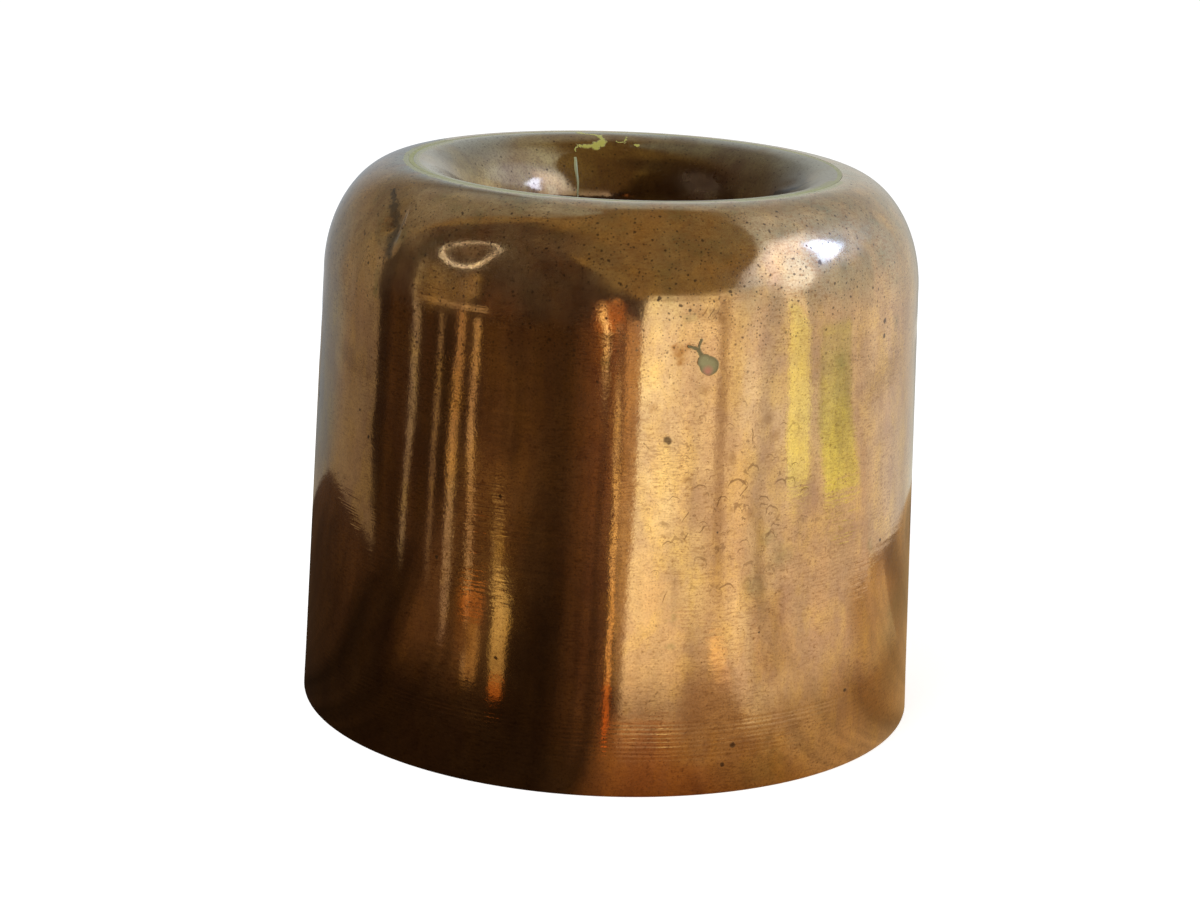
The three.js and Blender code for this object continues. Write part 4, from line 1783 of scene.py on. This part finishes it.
        "bright_patch", (1.25, 1.02, 0.74), (1.25, 1.05, 0.8),
        ((-278, -59, -52), (-215, -61, -54)),
        soft=(0.3, 0.3, 0.3, 0.3), streaks=0.25,
    ),
    Card(
        "bright_low", (0.34, 0.2, 0.09), (0.55, 0.42, 0.28),
        ((-322, -78, -48), (-290, -74, -47), (-235, -70.5, -52)),
        soft=(0.3, 0.35, 0.1, 0.5),
    ),
    Card(
        "pane_one", (1.15, 1.15, 0.75), (1.6, 1.75, 2.3),
        ((10, -29, -19.5), (60, -29.5, -21), (180, -31, -20.5), (300, -25, -13.5), (330, -23, -12)),
        soft=(0.12, 0.12, 0.08, 0.15), streaks=0.14,
    ),
    Card(
        "yellow_one", (1.27, 1.55, 0.8), (1.2, 1.4, 0.95),
        ((-98, -28.5, -18.6), (-67, -28.6, -18.3), (9, -28.3, -17.6), (60, -28.6, -20.5),
         (110, -28.8, -24), (160, -29, -26)),
        soft=(0.08, 0.12, 0.1, 0.2), streaks=0.22, torn=0.35,
    ),
    Card(
        "yellow_two", (1.1, 1.34, 0.46), (0.56, 0.72, 0.38),
        ((-120, -13.8, 8), (-100, -13.5, 7.3), (20, -15.8, 2.8), (62, -15, 1)),
        soft=(0.16, 0.14, 0.06, 0.35), streaks=0.25, torn=0.35,
    ),
    # bright strips on the dark wall
    Card(
        "flame_glow", (0.62, 0.25, 0.08), (0.62, 0.25, 0.08),
        ((26, -99, -87), (80, -99.5, -86), (185, -99.5, -86)),
        soft=(0.35, 0.35, 0.25, 0.25), streaks=0.5, torn=0.5,
    ),
    Card(
        "flame", (2.1, 1.9, 1.4), (1.9, 1.55, 1.0),
        ((19, -94.2, -92.2), (75, -95.6, -93.2), (120, -96.4, -94.2), (178, -97.2, -94.8)),
        soft=(0.3, 0.35, 0.2, 0.3), streaks=0.35, ripple=0.8, torn=0.35,
    ),
    Card(
        "flame_side", (0.5, 0.35, 0.24), (0.45, 0.3, 0.2),
        ((35, -90.9, -88.7), (95, -90.9, -88.7)),
        soft=(0.3, 0.3, 0.3, 0.3), streaks=0.35,
    ),
    Card(
        "flame_top", (0.9, 0.45, 0.18), (0.9, 0.45, 0.18),
        ((150, -92.4, -89.7), (192, -92.4, -89.7)),
        soft=(0.3, 0.3, 0.3, 0.3), streaks=0.35,
    ),
    Card(
        "flame_right", (0.8, 0.55, 0.38), (0.8, 0.55, 0.38),
        ((50, -84.9, -83.2), (102, -84.9, -83.2)),
        soft=(0.3, 0.3, 0.3, 0.3), streaks=0.35,
    ),
    Card(
        "line", (1.35, 0.85, 0.34), (1.6, 1.35, 0.85),
        ((-268, -90.2, -88.6), (-183, -89.6, -88), (-66, -89.5, -87.9), (5, -89.9, -88.3),
         (40, -90, -88.9)),
        soft=(0.3, 0.3, 0.06, 0.1), streaks=0.3, ripple=0.5, torn=0.35,
    ),
    Card(
        "line_foot", (0.9, 0.24, 0.04), (1.1, 0.42, 0.09),
        ((-305, -90.5, -88.9), (-250, -90.1, -88.5)),
        soft=(0.3, 0.3, 0.1, 0.3), streaks=0.5, torn=0.5,
    ),
    Card(
        "thread", (0.7, 0.44, 0.21), (0.66, 0.43, 0.24),
        ((2, -86.2, -85.4), (24, -86.7, -85.9), (61, -87.0, -86.2), (130, -87.2, -86.4)),
        soft=(0.3, 0.3, 0.1, 0.2), ripple=0.3,
    ),
    Card(
        "streak_one", (0.5, 0.48, 0.45), (0.58, 0.56, 0.48),
        ((-208, -162.2, -160.4), (-184, -164.2, -161.8), (-142, -165.8, -163), (-92, -166.8, -163.8),
         (-37, -167.9, -164.2), (22, -168, -163.4), (66, -167.9, -163.2), (235, -170, -166)),
        soft=(0.35, 0.4, 0.1, 0.1), streaks=0.45, ripple=0.8, torn=0.75,
    ),
    Card(
        "streak_two", (0.38, 0.31, 0.25), (0.5, 0.42, 0.31),
        ((-222, -150.4, -148.4), (-161, -153.3, -151.3), (-102, -154.9, -152.7), (-18, -156.4, -154.3),
         (24, -155.2, -153.2), (60, -155.2, -153.4)),
        soft=(0.35, 0.35, 0.25, 0.1), streaks=0.4, ripple=0.5, torn=0.75,
    ),
    Card(
        "streak_three", (0.38, 0.28, 0.25), (0.95, 0.88, 0.66),
        ((-257, -141.6, -138.9), (-222, -143.7, -140.5), (-194, -145.4, -141.7), (-164, -146.5, -142.9),
         (-106, -147.9, -144.2), (-84, -148.6, -144.8)),
        soft=(0.3, 0.3, 0.15, 0.15), streaks=0.35, ripple=0.9, torn=0.75,
    ),
    Card(
        "streak_three_high", (0.98, 0.78, 0.45), (0.62, 0.42, 0.24),
        ((-104, -148.3, -144.3), (-67, -149.4, -145.0), (-6, -149.6, -144.8), (12, -149.0, -144.8),
         (45, -147.6, -143.8), (80, -147.0, -143.6)),
        soft=(0.3, 0.3, 0.15, 0.1), streaks=0.5, ripple=1.0, torn=0.75,
    ),
    Card(
        "streak_four", (0.68, 0.52, 0.38), (0.9, 0.7, 0.44),
        ((-277, -131.0, -128.8), (-267, -132.0, -129.9), (-241, -133.8, -132.0), (-206, -135.8, -133.6),
         (-156, -138.3, -135.6), (-121, -138.6, -136.2), (0, -142.0, -139.2), (70, -140.4, -137.0)),
        soft=(0.3, 0.3, 0.08, 0.1), streaks=0.4, ripple=0.7, torn=0.75,
    ),
    Card(
        "bar", (0.6, 0.5, 0.37), (0.66, 0.54, 0.38),
        ((72, -166, -134.5), (97, -166, -134.5)),
        soft=(0.15, 0.1, 0.3, 0.3), streaks=0.4, ripple=1.5, torn=0.5,
    ),
    Card(
        "smoke", (0.2, 0.15, 0.08), (0.23, 0.175, 0.095),
        ((50, -167, -145), (100, -168, -142), (235, -170, -152)),
        soft=(0.25, 0.3, 0.3, 0.3), streaks=0.6, ripple=2.0, torn=0.5,
    ),
    Card(
        "smoke_gold", (0.38, 0.3, 0.18), (0.45, 0.36, 0.22),
        ((95, -149, -139), (160, -148, -139.5), (235, -149, -141)),
        soft=(0.4, 0.4, 0.3, 0.3), streaks=0.6, ripple=1.5, torn=0.5,
    ),
    Card(
        "gold_high", (0.17, 0.098, 0.04), (0.15, 0.085, 0.036),
        ((-185, -137, -122), (-100, -139, -122), (0, -139, -124)),
        soft=(0.3, 0.3, 0.25, 0.4), streaks=0.35,
    ),
    Card(
        "gold_scales", (0.46, 0.36, 0.18), (0.36, 0.27, 0.13),
        ((-168, -129.4, -124.4), (-122, -130.4, -125.0), (-78, -130.4, -125.4)),
        soft=(0.3, 0.3, 0.2, 0.35), streaks=0.9, torn=0.5,
    ),
    Card(
        "gold_low", (0.46, 0.31, 0.12), (0.92, 0.74, 0.36),
        ((-272, -123.2, -118.2), (-246, -125.0, -119.0), (-216, -126.2, -119.4), (-197, -126.8, -120.0),
         (-180, -127.8, -122.4), (-164, -128.6, -126.2)),
        soft=(0.2, 0.25, 0.08, 0.12), streaks=0.45, ripple=1.0, torn=0.5,
    ),
    Card(
        "gold_foot", (0.38, 0.11, 0.02), (0.48, 0.2, 0.05),
        ((-284, -121.7, -117.6), (-262, -123.8, -118.2)),
        soft=(0.2, 0.25, 0.3, 0.35), streaks=0.5,
    ),
    Card(
        "gold_left", (0.36, 0.22, 0.09), (0.48, 0.29, 0.12),
        ((-277, -131.1, -125.4), (-247, -133.4, -127.2), (-216, -135.7, -129.2)),
        soft=(0.25, 0.3, 0.15, 0.3), streaks=0.5, torn=0.5,
    ),
    Card(
        "ember_dim", (0.13, 0.072, 0.036), (0.16, 0.085, 0.04),
        ((-264, -135.8, -130.0), (-222, -139.4, -132.0)),
        soft=(0.3, 0.3, 0.3, 0.2), streaks=0.3,
    ),
    Card(
        "ember", (0.66, 0.25, 0.055), (0.62, 0.29, 0.09),
        ((-225, -138.6, -127.6), (-192, -140.4, -128.8)),
        soft=(0.45, 0.2, 0.3, 0.25), streaks=0.4, torn=0.5,
    ),
    Card(
        "hoop_inside", (0.16, 0.12, 0.09), (0.18, 0.13, 0.1),
        ((250, -159, -148), (310, -164, -146), (420, -158, -146)),
        soft=(0.35, 0.35, 0.3, 0.3), streaks=0.3,
    ),
    Card(
        "hoop", (3.8, 4.3, 5.2), (3.8, 4.4, 5.6),
        ((205, -169, -137), (282, -167.5, -141.1), (327, -164, -141.2), (387, -161, -138.4),
         (424, -160, -137.8)),
        share=Share.HOOP, torn=0.35,
    ),
    # the bright pane that stands near
    Card(
        "near_glare", (1.3, 1.35, 1.6), (2.6, 3.0, 4.4),
        ((105, -50, -18), (150, -52, -14), (190, -42, 0), (235, -32, 8)),
        soft=(0.4, 0.4, 0.4, 0.4), radius=NEAR,
    ),
    Card(
        "near_pane", (1.9, 2.3, 3.2), (2.1, 2.6, 3.8),
        ((113, -39, -29), (128, -38, -25), (150, -33.5, -22.8), (168, -31, -24)),
        soft=(0.3, 0.3, 0.3, 0.3), radius=NEAR, torn=0.35,
    ),
    Card(
        "near_window", (3.6, 5.6, 13.0), (3.6, 5.6, 13.0),
        ((137, -21, -19), (141, -20.5, -14), (148, -20.2, -6.5), (156, -19.7, 1.2), (172, -19.2, -2.6),
         (186, -18.5, -8), (191, -17.5, -15)),
        soft=(0.3, 0.3, 0.3, 0.3), radius=NEAR,
    ),
)


@dataclass
class Studio:
    """Floor, tent, lamps and camera."""

    floor_size: float = 6.0
    lens: float = 82.80
    distance: float = 572.0
    elevation: float = 14.561
    roll: float = 2.3105
    focal_pixels: float = 2760.15
    frame_width: float = 1200.0
    frame_height: float = 900.0
    aim: Pair = (614.80, 430.39)
    floor_white: float = 0.62
    soft_light: float = 0.55
    lamp_energy: float = 1.6
    lamp_size: float = 0.5
    lamp_spot: Triple = (-0.30, -0.35, 0.55)

    def floor(self) -> Object:
        """A wide pale floor that is white in the open and keeps the mould's shadow."""
        mesh = bmesh.new()
        bmesh.ops.create_grid(mesh, x_segments=1, y_segments=1, size=self.floor_size / 2)
        material = bpy.data.materials.new("pale_floor")
        tree = bare_tree(material)
        inputs = {0: self.seen_directly(tree), 1: self.floor_white}
        share = add(tree, "Math", inputs, operation="MULTIPLY")
        matt = add(tree, "BsdfDiffuse", {"Color": (0.86, 0.86, 0.86, 1)})
        white = add(tree, "Emission", {"Color": (1, 1, 1, 1), "Strength": share})
        both = add(tree, "AddShader", {0: matt, 1: white})
        add(tree, "OutputMaterial", {"Surface": both})
        thing = settle("floor", mesh, material)
        return thing

    @staticmethod
    def seen_directly(tree: NodeTree) -> NodeSocket:
        """1 for the camera, for gloss and for glass, and 0 for soft light."""
        path = add(tree, "LightPath").node.outputs
        inputs = {0: path["Is Camera Ray"], 1: path["Is Glossy Ray"]}
        first = add(tree, "Math", inputs, operation="MAXIMUM")
        return add(tree, "Math", {0: first, 1: path["Is Transmission Ray"]}, operation="MAXIMUM")

    def sky(self) -> None:
        """White all round, at a plain level for soft light."""
        world = bpy.data.worlds.new("white_studio")
        tree = bare_tree(world)
        seen = self.seen_directly(tree)
        soft = add(tree, "Background", {"Color": (1, 1, 1, 1), "Strength": self.soft_light})
        white = add(tree, "Background", {"Color": (1, 1, 1, 1), "Strength": 1.0})
        mixed = add(tree, "MixShader", {0: seen, 1: soft, 2: white})
        add(tree, "OutputWorld", {"Surface": mixed})
        bpy.context.scene.world = world

    def lamp(self) -> Object:
        """One large soft lamp, up and to the left of the camera."""
        data = bpy.data.lights.new("soft_lamp", "AREA")
        data.shape = "DISK"
        data.size = self.lamp_size
        data.energy = self.lamp_energy
        thing = stand("soft_lamp", data)
        thing.location = self.lamp_spot
        towards = Vector((0, 0, 0.05)) - thing.location
        thing.rotation_euler = towards.to_track_quat("-Z", "Y").to_euler()
        thing.visible_glossy = False
        thing.visible_camera = False
        return thing

    def camera(self) -> Object:
        """The camera, placed as the photograph's was, from the mould's own outline."""
        data = bpy.data.cameras.new("camera")
        data.lens = self.lens
        data.sensor_width = 36.0
        data.clip_start = 0.01
        data.clip_end = 50.0
        thing = stand("camera", data)
        tilt, roll = math.radians(self.elevation), math.radians(self.roll)
        back = Vector((0, -math.cos(tilt), math.sin(tilt)))
        up = Vector((0, math.sin(tilt), math.cos(tilt)))
        right = Vector((1, 0, 0))
        across = (self.aim[0] - self.frame_width / 2) / self.focal_pixels
        down = -(self.aim[1] - self.frame_height / 2) / self.focal_pixels
        yaw = math.atan(math.cos(roll) * across - math.sin(roll) * down)
        pitch = math.atan(math.sin(roll) * across + math.cos(roll) * down)
        ahead = -back * math.cos(yaw) - right * math.sin(yaw)
        right = right * math.cos(yaw) - back * math.sin(yaw)
        aimed = ahead * math.cos(pitch) - up * math.sin(pitch)
        up = up * math.cos(pitch) + ahead * math.sin(pitch)
        x_axis = right * math.cos(roll) + up * math.sin(roll)
        y_axis = up * math.cos(roll) - right * math.sin(roll)
        spot = Vector((0, 0, SIZES.height / 2 * MM)) + back * self.distance * MM
        turned = Matrix((x_axis, y_axis, -aimed)).transposed().to_4x4()
        thing.matrix_world = Matrix.Translation(spot) @ turned
        bpy.context.scene.camera = thing
        return thing

    def build(self) -> None:
        """Sets the studio up."""
        self.floor()
        self.sky()
        self.lamp()
        self.camera()
        tent = Tent(cards=CARDS)
        for layer, card in enumerate(tent.cards):
            tent.hang(card, layer)
        LOG.info("studio: %d cards", len(tent.cards))


def main() -> None:
    """Builds the mould and the studio."""
    logging.basicConfig(level=logging.INFO, format="%(name)s: %(message)s")
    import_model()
    bpy.context.scene.view_settings.view_transform = "Standard"
    copper = CasingFinish().material()
    well_copper = WellFinish().material()
    brass = SpelterFinish().material()
    tin = TinFinish().material()
    Casing().build(copper, tin)
    Well().build(well_copper, brass, tin)
    Studio().build()
    bpy.context.view_layer.update()


if __name__ == "__main__":
    main()
